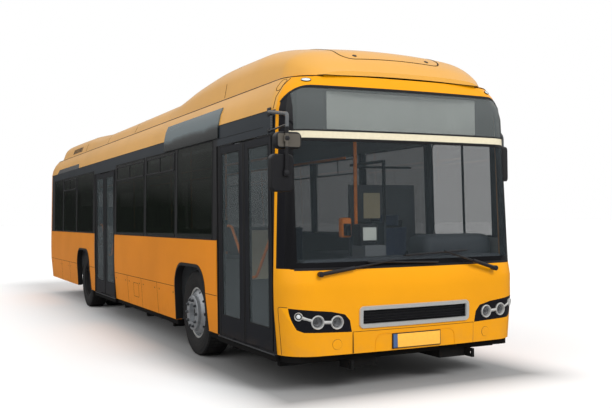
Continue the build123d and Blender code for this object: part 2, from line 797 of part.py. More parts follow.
for name, front, rear, top in DOORWAYS:
    leaf_length = (rear - front) / 2 - post_to_jamb - leaf_to_post - centre_gap / 2
    arm_length = leaf_to_post + leaf_length / 2 + arm_offset
    leaf_top = top - 2 * arm_gap - arm_thickness
    for place, jamb, way in (("a", front, 1), ("b", rear, -1)):
        post_y = behind(jamb) + way * post_to_jamb
        hinge_y = post_y + way * arm_length
        leaf_y = sorted((post_y + way * leaf_to_post, post_y + way * (leaf_to_post + leaf_length)))
        glass_edges = (post_y + way * (leaf_to_post + leaf_frame),
                       post_y + way * (leaf_to_post + leaf_length - leaf_meeting_frame))
        glass_y = sorted(glass_edges)
        glass_z = (glass_bottom, leaf_top - leaf_frame)
        with BuildPart() as post:
            rod((post_x, post_y, floor_top + fit), (post_x, post_y, top - fit), post_radius)
            for z in (floor_top + arm_gap, top - arm_gap - arm_thickness):
                low_end = (post_x, hinge_y, z)
                high_end = (post_x, hinge_y, z + arm_thickness)
                block(arm_x, sorted((post_y, hinge_y)), (z, z + arm_thickness))
                rod(low_end, high_end, eye_radius)
                rod(low_end, high_end, hinge_radius + pin_gap, mode=Mode.SUBTRACT)
        save(post.part, f"door_post_{name}_{place}")
        with BuildPart() as leaf:
            block(leaf_x, leaf_y, (leaf_bottom, leaf_top))
            block(leaf_x, glass_y, glass_z, mode=Mode.SUBTRACT)
            rod((post_x, hinge_y, floor_top + arm_gap), (post_x, hinge_y, leaf_bottom), hinge_radius)
            rod((post_x, hinge_y, leaf_top), (post_x, hinge_y, top - arm_gap), hinge_radius)
        save(leaf.part, f"door_leaf_{name}_{place}")
        with BuildPart() as leaf_glass:
            block(leaf_glass_x, glass_y, glass_z)
        save(leaf_glass.part, f"door_glass_{name}_{place}")

# ---------------------------------------------------------------- sign box, mirrors and wipers
sign_box_y = (behind(front_door_rear - 45), behind(front_door_rear + 1855))
sign_box_z = (window_top, 2675)
sign_box_proud = 14
with BuildPart() as side_sign:
    add(body_volume(-sign_box_proud))
    add(outer_volume, mode=Mode.SUBTRACT)
    block(kerb_side, sign_box_y, sign_box_z, mode=Mode.INTERSECT)
save(side_sign.part, "side_sign")

tube_radius = 15
rod_y = tube_radius - mirror_reach
head_front = rod_y + tube_radius - 2
head_rear = -290
head_corner = 45
head_rim = 14
# distance out from the side of the body, distance behind the front face, height of each bend
KERB_ARM = [(-75, 616, 2506), (180, rod_y, 2354), (193, rod_y, 1872)]
ROAD_ARM = [(-60, 400, 2385), (60, 440, 2395), (164, 510, 2350), (164, 510, 2200)]
kerb_arm_bend = 40
road_arm_bend = 50
# inner and outer edge out from the side, front and rear behind the front face, bottom and top,
# and how far the head is turned in towards the driver
MIRROR_HEADS = [
    (-1, (45, 269), (head_front, head_rear), (2080, 2216), 0),
    (-1, (116, 313), (head_front, head_rear), (1740, 2040), 0),
    (1, (69, 259), (480, 540), (1890, 2250), 35),
]
# distance out and height of the two clamps that hold the kerb side heads to the rod
CLAMPS = [(185, 2160), (191, 1890)]
clamp_half = 24


def out(side, distance):
    """The x of a point this far out from the side of the body."""
    return side * (half_width + distance)


def mirror_arm(side, bends, bend_radius):
    """A round tube along straight runs joined by bends."""
    points = [(out(side, distance), behind(y), z) for distance, y, z in bends]
    with BuildPart() as arm:
        with BuildLine() as route:
            FilletPolyline(*points, radius=bend_radius)
        with BuildSketch(Plane(origin=route.line @ 0, z_dir=route.line % 0)):
            Circle(tube_radius)
        sweep()
    return arm.part


def mirror_head(side, x, y, z, turn):
    """A mirror's housing, with round corners and a softened front and rear rim."""
    with BuildPart() as head:
        block(sorted((out(side, x[0]), out(side, x[1]))), (behind(y[0]), behind(y[1])), z)
        fillet(head.edges().filter_by(Axis.Y), head_corner)
        rims = head.faces().filter_by(Axis.Y)
        fillet(rims.edges(), head_rim)
    middle = head.part.bounding_box().center()
    return head.part.rotate(Axis(middle, (0, 0, 1)), side * turn)


with BuildPart() as mirrors:
    add(mirror_arm(-1, KERB_ARM, kerb_arm_bend))
    add(mirror_arm(1, ROAD_ARM, road_arm_bend))
    for side, x, y, z, turn in MIRROR_HEADS:
        add(mirror_head(side, x, y, z, turn))
    for distance, z in CLAMPS:
        block((out(-1, distance + clamp_half), out(-1, distance - clamp_half)),
              (behind(-mirror_reach + 4), behind(head_front + 10)), (z - clamp_half, z + clamp_half))
    add(body_volume(-fit), mode=Mode.SUBTRACT)
save(mirrors.part, "mirrors")

# pivot x and z, elbow x and z, blade ends x and z
WIPERS = [
    ((-958, 1047), (-234, 1150), (-503, 1141), (240, 1116)),
    ((898, 1036), (300, 1216), (560, 1216), (-130, 1190)),
]
wiper_radius = 9
wiper_stand = 34              # from the glass to the middle of the first arm
wiper_step = 22               # the second arm stands this much further out
pivot_radius = 18


def screen_y(x, z):
    """Where the front surface lies, as a distance behind the front face."""
    foot, head = (3, 4) if z > screen_bottom else (2, 3)
    low_z, _, low_set, _ = BODY_SECTIONS[foot]
    high_z, _, high_set, _ = BODY_SECTIONS[head]
    return low_set + (high_set - low_set) * (z - low_z) / (high_z - low_z) + bow(x)


with BuildPart() as wipers:
    for index, (pivot, elbow, blade_a, blade_b) in enumerate(WIPERS):
        stand = wiper_stand + wiper_step * index
        base = behind(screen_y(*pivot))
        rod((pivot[0], base + 12, pivot[1]), (pivot[0], base - stand - 8, pivot[1]), pivot_radius)
        reach = [(x, behind(screen_y(x, z) - stand), z) for x, z in (pivot, elbow, blade_a, blade_b)]
        rod(reach[0], reach[1], wiper_radius)
        rod(reach[2], reach[3], wiper_radius)
    add(outer_volume, mode=Mode.SUBTRACT)
save(wipers.part, "wipers")

# ---------------------------------------------------------------- driver's place
driver_x = 680
column_foot = (driver_x, behind(640), 1000)
column_head = (driver_x, behind(860), 1100)
column_way = (Vector(*column_head) - Vector(*column_foot)).normalized()
column_radius = 35
desk_top = 980
console_x = (250, half_width - 175)
console_y = (behind(400), behind(700))
console_z = (820, 1120)
with BuildPart() as dashboard:
    block((100, half_width), (behind(140), behind(560)), (floor_top, desk_top))
    block(console_x, console_y, console_z)
    rod(column_foot, column_head, column_radius)
    add(inner_volume, mode=Mode.INTERSECT)
save(dashboard.part, "dashboard")

wheel_hub_radius = 50
wheel_hub_depth = 30
wheel_ring_radius = 225
wheel_grip_radius = 13
spoke_width = 30
spoke_thickness = 12
hub_foot = Vector(*column_head) + column_way * fit
with BuildPart() as steering_wheel:
    rod(hub_foot, hub_foot + column_way * wheel_hub_depth, wheel_hub_radius)
    with Locations(Plane(origin=hub_foot + column_way * wheel_hub_depth / 2, z_dir=column_way)):
        Torus(wheel_ring_radius, wheel_grip_radius)
        Box(2 * wheel_ring_radius - wheel_grip_radius, spoke_width, spoke_thickness)
save(steering_wheel.part, "steering_wheel")

pedestal_half = 100
driver_seat_half = 230
driver_seat_y = (behind(1120), behind(1600))
driver_cushion_z = (780, 890)
driver_back_top = 1560
driver_back_thickness = 100
with BuildPart() as driver_seat:
    block((driver_x - pedestal_half, driver_x + pedestal_half),
          (driver_seat_y[0] + 130, driver_seat_y[1] - 100), (floor_top, driver_cushion_z[0]))
    block((driver_x - driver_seat_half, driver_x + driver_seat_half), driver_seat_y, driver_cushion_z)
    block((driver_x - driver_seat_half, driver_x + driver_seat_half),
          (driver_seat_y[1] - driver_back_thickness, driver_seat_y[1]),
          (driver_cushion_z[1], driver_back_top))
save(driver_seat.part, "driver_seat")

partition_y = (behind(1800), behind(1830))
partition_top = 1900
with BuildPart() as partition:
    block((330, half_width), partition_y, (floor_top, partition_top))
    add(inner_volume, mode=Mode.INTERSECT)
save(partition.part, "partition")

machine_x = (-60, 180)
machine_y = (behind(800), behind(1060))
machine_top = 1250
with BuildPart() as ticket_machine:
    block(machine_x, machine_y, (floor_top, machine_top))
save(ticket_machine.part, "ticket_machine")

# ---------------------------------------------------------------- seats and rails
# side, distance of the seat's front edge behind the front face, floor height
seat_pitch = 780
SEATS = [(1, 4300 + seat_pitch * row, floor_top) for row in range(4)]
SEATS += [(-1, 3950 + seat_pitch * row, floor_top) for row in range(3)]
SEATS += [(side, body_length - 2280, rear_floor_top) for side in (-1, 1)]
seat_height = 430
cushion = 80
seat_x = (half_width - 715, half_width - 105)
seat_leg_x = (half_width - 515, half_width - 295)
seat_leg_y = (120, 330)
seat_depth = 430
back_thickness = 70
back_height = 620
bench_half_width = half_width - 175
bench_y = (behind(body_length - 980), behind(body_length - 530))
with BuildPart() as passenger_seats:
    for side, distance, base in SEATS:
        y = behind(distance)
        cushion_z = (base + seat_height - cushion, base + seat_height)
        seat = sorted((side * seat_x[0], side * seat_x[1]))
        leg = sorted((side * seat_leg_x[0], side * seat_leg_x[1]))
        block(leg, (y + seat_leg_y[0], y + seat_leg_y[1]), (base, cushion_z[0]))
        block(seat, (y, y + seat_depth), cushion_z)
        block(seat, (y + seat_depth - back_thickness, y + seat_depth),
              (cushion_z[1], cushion_z[1] + back_height))
    bench = (-bench_half_width, bench_half_width)
    block(bench, bench_y, (engine_cover_top, engine_cover_top + cushion))
    block(bench, (bench_y[1] - back_thickness, bench_y[1]),
          (engine_cover_top + cushion, engine_cover_top + back_height))
save(passenger_seats.part, "passenger_seats")

pole_radius = 17
pole_x = 420
ceiling = roof_seam - roof_thickness
# side, distance behind the front face, bottom of each upright pole
POLES = [
    (-1, front_door_rear + 230, floor_top),
    (-1, 3700, floor_top),
    (1, 4100, floor_top),
    (-1, middle_door_front - 160, floor_top),
    (1, middle_door_rear - 30, floor_top),
    (-1, step_y + 540, rear_floor_top),
    (1, step_y + 540, rear_floor_top),
]
with BuildPart() as handrails:
    for side, distance, base in POLES:
        x = side * pole_x
        rod((x, behind(distance), base), (x, behind(distance), ceiling), pole_radius)
save(handrails.part, "handrails")
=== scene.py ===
# %% [markdown]
# # A city bus
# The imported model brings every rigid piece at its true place. This file dresses it: paint, glass, rubber
# and metal on the pieces that are there, and new meshes for lamps, mirrors, seats, treads and trim.

# %% Load the fixed frame
import math
import bmesh
import bpy
from mathutils import Matrix, Vector
from mathutils.bvhtree import BVHTree


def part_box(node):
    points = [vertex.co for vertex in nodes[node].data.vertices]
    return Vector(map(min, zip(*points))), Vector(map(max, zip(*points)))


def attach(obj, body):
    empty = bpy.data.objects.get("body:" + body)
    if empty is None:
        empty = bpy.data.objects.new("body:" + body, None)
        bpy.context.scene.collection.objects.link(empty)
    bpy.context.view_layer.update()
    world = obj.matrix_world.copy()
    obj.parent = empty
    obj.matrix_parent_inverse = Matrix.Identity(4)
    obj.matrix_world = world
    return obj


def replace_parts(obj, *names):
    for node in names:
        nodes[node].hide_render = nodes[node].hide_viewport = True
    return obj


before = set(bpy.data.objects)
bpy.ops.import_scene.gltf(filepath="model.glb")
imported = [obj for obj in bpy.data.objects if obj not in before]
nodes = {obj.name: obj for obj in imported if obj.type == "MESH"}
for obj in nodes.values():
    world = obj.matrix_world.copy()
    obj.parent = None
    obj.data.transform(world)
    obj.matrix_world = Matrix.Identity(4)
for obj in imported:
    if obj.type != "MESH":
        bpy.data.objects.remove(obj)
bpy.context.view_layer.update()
scene = bpy.context.scene
scene.view_settings.view_transform = "Standard"

# %% [markdown]
# ## Where things are
# The front face of the bus is the plane that most sizes start from, so places are written as a
# coachbuilder would say them: so far behind the front, so far above the road.

# %% Main places, in metres
body_length = 12.13
rear_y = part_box("rear_panel")[1].y
front_y = rear_y - body_length
front_axle = 2.645
rear_axle = front_axle + 5.945
tyre_radius = 0.478
wheel_x = 1.0625
half_width = 1.275
low_floor = 0.345
SIDES = (("kerb", -1), ("road", 1))
sharp_angle = math.radians(28.0)


def behind(distance):
    """The y of a point this far behind the front face."""
    return front_y + distance


print(f"front face at y = {front_y:.3f}, rear at {rear_y:.3f}, axles {rear_axle - front_axle:.3f} apart")

# %% [markdown]
# ## The camera
# A normal lens stands a little above waist height, ahead of the kerb side corner, so that the front and
# the door side both show. It is made first because everything else is judged through it.

# %% Camera
camera_yaw = 0.4614
camera_pitch = 0.0167
camera_roll = -0.0114
camera_place = Vector((-4.1767, behind(-6.1751), 1.5351))
focal_pixels = 815.83
image_width = 612
camera_data = bpy.data.cameras.new("camera")
camera_data.sensor_width = 36.0
camera_data.lens = focal_pixels / image_width * camera_data.sensor_width
camera_data.clip_end = 200.0
camera = bpy.data.objects.new("camera", camera_data)
scene.collection.objects.link(camera)
scene.camera = camera
forward = Vector((math.sin(camera_yaw) * math.cos(camera_pitch),
                  math.cos(camera_yaw) * math.cos(camera_pitch), math.sin(camera_pitch)))
level_right = forward.cross(Vector((0, 0, 1))).normalized()
level_up = level_right.cross(forward)
right = level_right * math.cos(camera_roll) + level_up * math.sin(camera_roll)
up = level_up * math.cos(camera_roll) - level_right * math.sin(camera_roll)
turn = Matrix((right, up, -forward)).transposed()
camera.matrix_world = Matrix.Translation(camera_place) @ turn.to_4x4()

# %% [markdown]
# ## Shader sums
# Materials are node trees. Wrapping a socket in a small class lets the sums be written as plain Python,
# and one method makes any other node.


# %% Shader sums
class Wire:
    """An output socket that can stand in a Python sum."""

    def __init__(self, finish, socket):
        self.finish = finish
        self.socket = socket

    def maths(self, operation, first, second=0.0):
        """One sum. Each side can be a wire or a plain number."""
        return self.finish.node("ShaderNodeMath", {"operation": operation}, {0: first, 1: second})

    def __add__(self, other):
        return self.maths("ADD", self, other)

    def __sub__(self, other):
        return self.maths("SUBTRACT", self, other)

    def __rsub__(self, other):
        return self.maths("SUBTRACT", other, self)

    def __mul__(self, other):
        return self.maths("MULTIPLY", self, other)

    def __gt__(self, other):
        return self.maths("GREATER_THAN", self, other)

    def __lt__(self, other):
        return self.maths("LESS_THAN", self, other)

    def __abs__(self):
        return self.maths("ABSOLUTE", self)

    def larger(self, other):
        return self.maths("MAXIMUM", self, other)

    def smaller(self, other):
        return self.maths("MINIMUM", self, other)

    def hypot(self, other):
        """The length of the flat vector that two numbers make."""
        flat = self.finish.node("ShaderNodeCombineXYZ", {}, {0: self, 1: other, 2: 0.0})
        return self.finish.node("ShaderNodeVectorMath", {"operation": "LENGTH"}, {0: flat}, output="Value")

    __radd__ = __add__
    __rmul__ = __mul__


# %% [markdown]
# A tree adds nodes to a material or to the sky. The few mixes that come up again and again have short
# names.


# %% Node trees
class Tree:
    """A node tree whose nodes are added through node()."""

    def __init__(self, owner):
        owner.use_nodes = True
        self.tree = owner.node_tree

    def plug(self, target, value):
        """Link a wire to an input, or set the input to a plain value."""
        if isinstance(value, Wire):
            self.tree.links.new(value.socket, target)
        elif hasattr(value, "__len__") and len(value) == 3 and len(target.default_value) == 4:
            target.default_value = (*value, 1.0)
        else:
            target.default_value = value

    def node(self, kind, settings=None, inputs=None, output=0):
        """Add any node: its settings, what goes in by name or number, and which output to take."""
        made = self.tree.nodes.new(kind)
        for name, value in (settings or {}).items():
            setattr(made, name, value)
        for name, value in (inputs or {}).items():
            self.plug(made.inputs[name], value)
        return Wire(self, made.outputs[output])

    def blend(self, factor, first, second):
        """Mix two colours."""
        return self.node("ShaderNodeMix", {"data_type": "RGBA"}, {0: factor, 6: first, 7: second}, output=2)

    def remap(self, value, low, high, to_low=0.0, to_high=1.0):
        return self.node("ShaderNodeMapRange", {}, {"Value": value, "From Min": low, "From Max": high,
                         "To Min": to_low, "To Max": to_high})

    def noise(self, scale, detail=3.0, place=None):
        return self.node("ShaderNodeTexNoise", {}, {"Vector": place or self.place(), "Scale": scale,
                         "Detail": detail})


# %% [markdown]
# A finish is a tree round the principled shader. It knows where each point of the surface is at rest, which
# lets a finish change with height or width.


# %% Finishes
class Finish(Tree):
    """One material: a tree with the principled shader in it, which shade() sets."""

    def __init__(self, name):
        self.material = bpy.data.materials.new(name)
        super().__init__(self.material)
        self.shader = self.tree.nodes["Principled BSDF"]

    def place(self):
        """The point of the surface in the frame's metres, at rest."""
        return self.node("ShaderNodeTexCoord", output="Object")

    def axes(self):
        """Separate x, y and z of the surface point."""
        split = self.node("ShaderNodeSeparateXYZ", inputs={0: self.place()})
        outputs = split.socket.node.outputs
        return [Wire(self, outputs[name]) for name in ("X", "Y", "Z")]

    def bump(self, height, strength, distance):
        return self.node("ShaderNodeBump", {}, {"Height": height, "Strength": strength, "Distance": distance})

    def shade(self, **inputs):
        """Set or link inputs of the shader by name, with _ for a space."""
        for name, value in inputs.items():
            self.plug(self.shader.inputs[name.replace("_", " ")], value)
        print("finish", self.material.name, "with", len(self.tree.nodes), "nodes")
        return self.material


# %% [markdown]
# ## Paint
# Coach paint is a solid colour under clear lacquer. A large soft noise shifts the colour a little, road
# film dulls the lowest panels, and a very fine bump gives the lacquer its orange peel. Faces that look
# towards the middle of the bus are its lining, so they turn grey.


# %% Paints
saloon_middle = (0.0, 0.2, 1.75)
road_film = (0.20, 0.13, 0.07)
lining_grey = (0.16, 0.16, 0.15)
border_black = (0.006, 0.006, 0.008)
# The black border round the front glass: its lower and upper edges, and where its top corners start.
border_low = 1.095
border_high = 2.685
border_bend = 2.42
corner_x = 0.97
corner_radius = 0.265


def coach_paint(name, colour, gloss=0.28, film_top=0.62, border=False):
    """Lacquered paint. Below film_top it is dusty, and border adds the black round the front glass and a
    painted highlight that lightens the front from 0.9 m upward.
    """
    finish = Finish(name)
    x, y, z = finish.axes()
    cloud = finish.noise(0.9, 4.0)
    streak = finish.noise(11.0, 5.0)
    deep = tuple(c * 0.88 for c in colour)
    base = finish.blend(finish.remap(cloud, 0.35, 0.7), colour, deep)
    film = finish.remap(z, film_top, 0.3) * finish.remap(streak, 0.35, 0.75) * 0.18
    base = finish.blend(film, base, road_film)
    outward = finish.node("ShaderNodeVectorMath", {"operation": "SUBTRACT"},
                          {0: finish.place(), 1: saloon_middle})
    facing = finish.node("ShaderNodeVectorMath", {"operation": "DOT_PRODUCT"},
                         {0: finish.node("ShaderNodeTexCoord", output="Normal"), 1: outward}, output="Value")
    base = finish.blend(facing < 0.0, base, lining_grey)
    if border:
        # Painted highlight: the paint turns lighter from 0.9 m up to 1.1 m and stays so above.
        bright = tuple(min(c * 1.22, 1.0) for c in colour)
        base = finish.blend(finish.remap(z, 0.90, 1.10) * 0.5, base, bright)
        corner = (abs(x) - corner_x).larger(0.0).hypot((z - border_bend).larger(0.0))
        inside = ((z < border_bend) + (corner < corner_radius)).larger(0.0)
        round_glass = (z > border_low) * (z < border_high) * (y < behind(0.285)) * inside
        base = finish.blend(round_glass.smaller(1.0), base, border_black)
    peel = finish.noise(260.0, 2.0)
    return finish.shade(Base_Color=base, Roughness=film * 0.5 + gloss + cloud * 0.08,
                        Normal=finish.bump(peel, 0.04, 0.001), Specular_IOR_Level=0.22,
                        Coat_Weight=0.17, Coat_Roughness=0.05)


orange_body = coach_paint("orange_body", (0.76, 0.245, 0.003))
# A yellower copy of the body orange for the front, where the sun falls: painted light.
front_orange_painted_sunlight = coach_paint("front_orange_painted_sunlight", (0.70, 0.285, 0.002), border=True)
# A paler copy of the orange for the roof and its covers, standing in for the sky's sheen: painted light.
roof_orange_painted_sky_sheen = coach_paint("roof_orange_painted_sky_sheen", (0.70, 0.355, 0.066))
slate_paint = coach_paint("slate_paint", (0.024, 0.030, 0.037), gloss=0.3)
door_paint = coach_paint("door_paint", (0.0085, 0.0100, 0.0140), gloss=0.34, film_top=0.45)


# %% [markdown]
# ## Plastics, rubber and metals
# These share one recipe: a base colour with a fine mottle, a roughness that the mottle moves a little,
# and a grain for the bump.


# %% Plain finishes
def grained(name, colour, rough=0.5, metal=0.0, mottle=0.12, scale=40.0, grain=0.1, **more):
    """One colour with a mottle of that share and scale. more goes to the shader as it is."""
    finish = Finish(name)
    spots = finish.noise(scale, 4.0)
    dark = tuple(c * (1 - mottle) for c in colour)
    light = tuple(min(1.0, c * (1 + mottle)) for c in colour)
    fine = finish.noise(scale * 12, 2.0)
    return finish.shade(Base_Color=finish.blend(spots, dark, light), Roughness=spots * 0.16 + (rough - 0.08),
                        Metallic=metal, Normal=finish.bump(fine, grain, 0.0005), **more)


black_plastic = grained("black_plastic", (0.014, 0.014, 0.016), rough=0.42)
black_gloss = grained("black_gloss", (0.006, 0.006, 0.008), rough=0.14, Coat_Weight=0.4)
rubber = grained("rubber", (0.010, 0.010, 0.011), rough=0.65)
seam_dark = grained("seam_dark", (0.020, 0.012, 0.006), rough=0.8)
dark_chrome = grained("dark_chrome", (0.12, 0.12, 0.125), rough=0.16, metal=0.7, mottle=0.05)
silver = grained("silver", (0.66, 0.66, 0.64), rough=0.32, metal=0.6, mottle=0.08)
wheel_silver = grained("wheel_silver", (0.44, 0.46, 0.48), rough=0.38, metal=0.65, mottle=0.25, scale=25.0)
dark_rim = grained("dark_rim", (0.035, 0.033, 0.032), rough=0.55, metal=0.3, mottle=0.3)
steel = grained("steel", (0.20, 0.21, 0.22), rough=0.35, metal=1.0)
underframe = grained("underframe", (0.007, 0.007, 0.007), rough=0.85, mottle=0.4, scale=12.0,
                     Specular_IOR_Level=0.2)
grey_plastic = grained("grey_plastic", (0.13, 0.14, 0.15), rough=0.55)
dash_grey = grained("dash_grey", (0.040, 0.046, 0.054), rough=0.55)
cream_plastic = grained("cream_plastic", (0.66, 0.60, 0.44), rough=0.4)
pale_board = grained("pale_board", (0.62, 0.55, 0.36), rough=0.55)
cream_board = grained("cream_board", (0.68, 0.62, 0.44), rough=0.55, mottle=0.06, scale=4.0)
orange_pole = grained("orange_pole", (0.80, 0.22, 0.01), rough=0.3, Coat_Weight=0.4)
plate_yellow = grained("plate_yellow", (0.80, 0.41, 0.05), rough=0.35)
plate_blue = grained("plate_blue", (0.05, 0.10, 0.22), rough=0.4)
red_lens = grained("red_lens", (0.42, 0.008, 0.006), rough=0.14, Coat_Weight=1.0)
amber_lens = grained("amber_lens", (0.70, 0.18, 0.01), rough=0.14, Coat_Weight=1.0)
clear_lens = grained("clear_lens", (0.62, 0.66, 0.68), rough=0.08, Coat_Weight=1.0)
mirror_glass = grained("mirror_glass", (0.75, 0.77, 0.78), rough=0.04, metal=1.0, mottle=0.02)
display_grey = grained("display_grey", (0.60, 0.64, 0.60), rough=0.5, scale=5.0)
light_strip = grained("light_strip", (0.40, 0.42, 0.41), rough=0.4, Emission_Color=(0.90, 0.96, 1.0),
                      Emission_Strength=0.12)
display_black = grained("display_black", (0.010, 0.010, 0.012), rough=0.3, scale=300.0, mottle=0.5)


# %% [markdown]
# ## Finishes that change from place to place
# Some solids hold more than one surface. Their finishes choose a colour by where the point is: the height
# on a lamp, the angle round a tyre or the distance from the corner of the bus.


# %% Lamp housings
def housing_finish():
    """Gloss black up to a curved edge near the corner, and body colour beyond it."""
    finish = Finish("lamp_housing")
    top_z, top_x, lean, curve = 0.755, 1.211, 0.1, 1.25
    x, _, z = finish.axes()
    drop = top_z - z
    edge = top_x - drop * lean - drop * drop * curve
    mottle = finish.noise(30.0, 3.0)
    black = finish.blend(mottle, (0.005, 0.005, 0.007), (0.008, 0.008, 0.010))
    return finish.shade(Base_Color=finish.blend(abs(x) > edge, black, (0.78, 0.325, 0.002)),
                        Roughness=mottle * 0.08 + 0.14, Specular_IOR_Level=0.35)


lamp_housing = housing_finish()


# %% Side display
def side_display():
    """A dark pane with a painted sky reflection on its upper half, where the roof leans back."""
    finish = Finish("side_display")
    z = finish.axes()[2]
    ripple = finish.noise(2.2, 5.0)
    painted_reflection_from, painted_reflection_full = 2.50, 2.56
    # Painted reflection: above about 2.5 m the pane turns blue-grey as if it mirrored the sky.
    sky = finish.remap(z + ripple * 0.10, painted_reflection_from, painted_reflection_full)
    colour = finish.blend(sky, (0.010, 0.012, 0.012), (0.095, 0.125, 0.135))
    return finish.shade(Base_Color=colour, Roughness=ripple * 0.1 + 0.08, Specular_IOR_Level=0.4)


side_pane = side_display()


# %% Floor
def floor_finish():
    """Speckled vinyl on top. The edges and the underside are painted near black, as the shade under the bus."""
    finish = Finish("floor_cover")
    vinyl_z = 0.343
    speckle = finish.noise(120.0, 4.0)
    vinyl = finish.blend(speckle, (0.035, 0.035, 0.038), (0.070, 0.070, 0.078))
    # Painted shade: below the vinyl the floor's edges and underside are near black.
    painted_shade_below = finish.axes()[2] < vinyl_z
    return finish.shade(Base_Color=finish.blend(painted_shade_below, vinyl, (0.004, 0.004, 0.004)),
                        Roughness=speckle * 0.1 + 0.6, Specular_IOR_Level=0.2,
                        Normal=finish.bump(speckle, 0.1, 0.0005))


floor_cover = floor_finish()


# %% Tyres
def tyre_finish():
    """Rubber with rings on the side walls. Grooves part the tread into blocks, and painted shade darkens the
    grooves.
    """
    finish = Finish("tyre_rubber")
    block_count, block_width, tread_depth = 60, 0.048, 0.016
    x, y, z = finish.axes()
    axle = (y > behind((front_axle + rear_axle) / 2)) * (rear_axle - front_axle) + behind(front_axle)
    across = y - axle
    upward = z - tyre_radius
    radius = across.hypot(upward)
    turns = across.maths("ARCTAN2", upward, across) * (block_count / (2 * math.pi))
    lengthwise = finish.remap(x.maths("PINGPONG", abs(x) - wheel_x, block_width / 2), 0.002, 0.004)
    crosswise = finish.remap(turns.maths("PINGPONG", turns, 0.5), 0.06, 0.12)
    blocks = lengthwise.smaller(crosswise)
    tread = radius > tyre_radius - tread_depth
    rings = finish.remap(radius.maths("PINGPONG", radius, 0.014), 0.001, 0.003) * 0.15
    height = tread * blocks + (1.0 - tread) * rings
    dust = finish.noise(14.0, 5.0)
    colour = finish.blend(finish.remap(dust, 0.4, 0.8), (0.011, 0.011, 0.012), (0.026, 0.024, 0.022))
    # Painted shade: the grooves between the tread blocks are near black.
    return finish.shade(Base_Color=finish.blend(tread * (1.0 - blocks), colour, (0.003, 0.003, 0.003)),
                        Roughness=dust * 0.2 + 0.62, Normal=finish.bump(height, 0.8, 0.006))


tyre_rubber = tyre_finish()


# %% Tail lamps
def tail_finish():
    """One lens colour for each height in the column of lamps: stop, turn, tail and reversing."""
    finish = Finish("tail_lens")
    amber_low, amber_high, clear_high = 1.285, 1.415, 1.155
    z = finish.axes()[2]
    cells = finish.node("ShaderNodeTexVoronoi", {}, {"Vector": finish.place(), "Scale": 160.0})
    amber = (z > amber_low) * (z < amber_high)
    colour = finish.blend(amber, (0.45, 0.008, 0.006), (0.72, 0.20, 0.01))
    colour = finish.blend(z < clear_high, colour, (0.60, 0.61, 0.60))
    return finish.shade(Base_Color=colour, Roughness=0.12, Coat_Weight=1.0,
                        Normal=finish.bump(cells, 0.25, 0.002))


tail_lens = tail_finish()


# %% Mirror finish
def mirror_finish():
    """Black housings on bare grey rods. The smaller kerb side housing is browner than the rest."""
    finish = Finish("mirror_paint")
    x, y, z = finish.axes()
    mottle = finish.noise(60.0, 4.0)
    face = finish.blend(mottle, (0.006, 0.006, 0.008), (0.012, 0.012, 0.013))
    small_head = (z > 2.095) * (z < 2.200) * (x < -1.335) * (x > -1.530) * (y < behind(-0.371))
    face = finish.blend(small_head, face, (0.085, 0.075, 0.062))
    rods = finish.blend(mottle, (0.075, 0.080, 0.085), (0.11, 0.115, 0.12))
    rods_from = 2.252
    return finish.shade(Base_Color=finish.blend(z > rods_from, face, rods), Roughness=mottle * 0.2 + 0.30,
                        Normal=finish.bump(finish.noise(500.0, 2.0), 0.08, 0.0005))


mirror_paint = mirror_finish()


# %% Seat cloth
def seat_cloth():
    """A short pile with a small woven check."""
    finish = Finish("seat_cloth")
    weave = finish.node("ShaderNodeTexChecker", {}, {"Vector": finish.place(), "Scale": 60.0,
                        "Color1": (0.020, 0.028, 0.060), "Color2": (0.030, 0.045, 0.10)})
    pile = finish.noise(90.0, 5.0)
    base = finish.blend(finish.remap(pile, 0.5, 0.8), weave, (0.09, 0.10, 0.14))
    return finish.shade(Base_Color=base, Roughness=pile * 0.1 + 0.85, Sheen_Weight=0.3,
                        Normal=finish.bump(pile, 0.5, 0.002))


seat_fabric = seat_cloth()


# %% [markdown]
# ## Glass
# Real panes show what is behind them head on and turn into mirrors at a slant. Opacity that follows the
# Fresnel curve does this with one shader, and a tint sets how dark the pane is. The front panes have a
# printed black border, which is a mask in the pane's own height and width.


# %% Glass
def tinted_glass(name, tint, cover, border=None, cab_cover=None):
    """cover is how much each face of the pane hides. The cab's own window can be clearer."""
    finish = Finish(name)
    inner_face = finish.node("ShaderNodeNewGeometry", output="Backfacing")
    slant = finish.node("ShaderNodeFresnel", {}, {"IOR": inner_face * (1 / 1.5 - 1.5) + 1.5})
    haze = finish.noise(3.0, 4.0)
    if cab_cover is not None:
        x, y, z = finish.axes()
        cover = (y < behind(1.55)) * (x > 0.0) * (cab_cover - cover) + cover
    alpha = slant * (1.0 - cover) + cover
    colour = finish.blend(haze, tint, tuple(c * 0.8 for c in tint))
    if border:
        half_clear, low, high = border
        x, y, z = finish.axes()
        printed = (abs(x) > half_clear).larger(z < low).larger(z > high)
        alpha = alpha.larger(printed)
        colour = finish.blend(printed, colour, (0.008, 0.008, 0.009))
    return finish.shade(Base_Color=colour, Roughness=haze * 0.02 + 0.01, Alpha=alpha,
                        Specular_IOR_Level=0.5)


screen_glass = tinted_glass("screen_glass", (0.060, 0.074, 0.082), 0.12, border=(1.140, 1.145, 2.20))
sign_glass = tinted_glass("sign_glass", (0.170, 0.190, 0.190), 0.30, border=(1.135, 2.30, 2.668))
lamp_glass = tinted_glass("lamp_glass", (0.30, 0.31, 0.32), 0.10)
side_glass = tinted_glass("side_glass", (0.004, 0.007, 0.004), 0.70, cab_cover=0.45)
door_pane = tinted_glass("door_pane", (0.085, 0.104, 0.110), 0.27)

# %% [markdown]
# ## Finishes on the CAD pieces
# Every solid that keeps its own shape takes a material here.

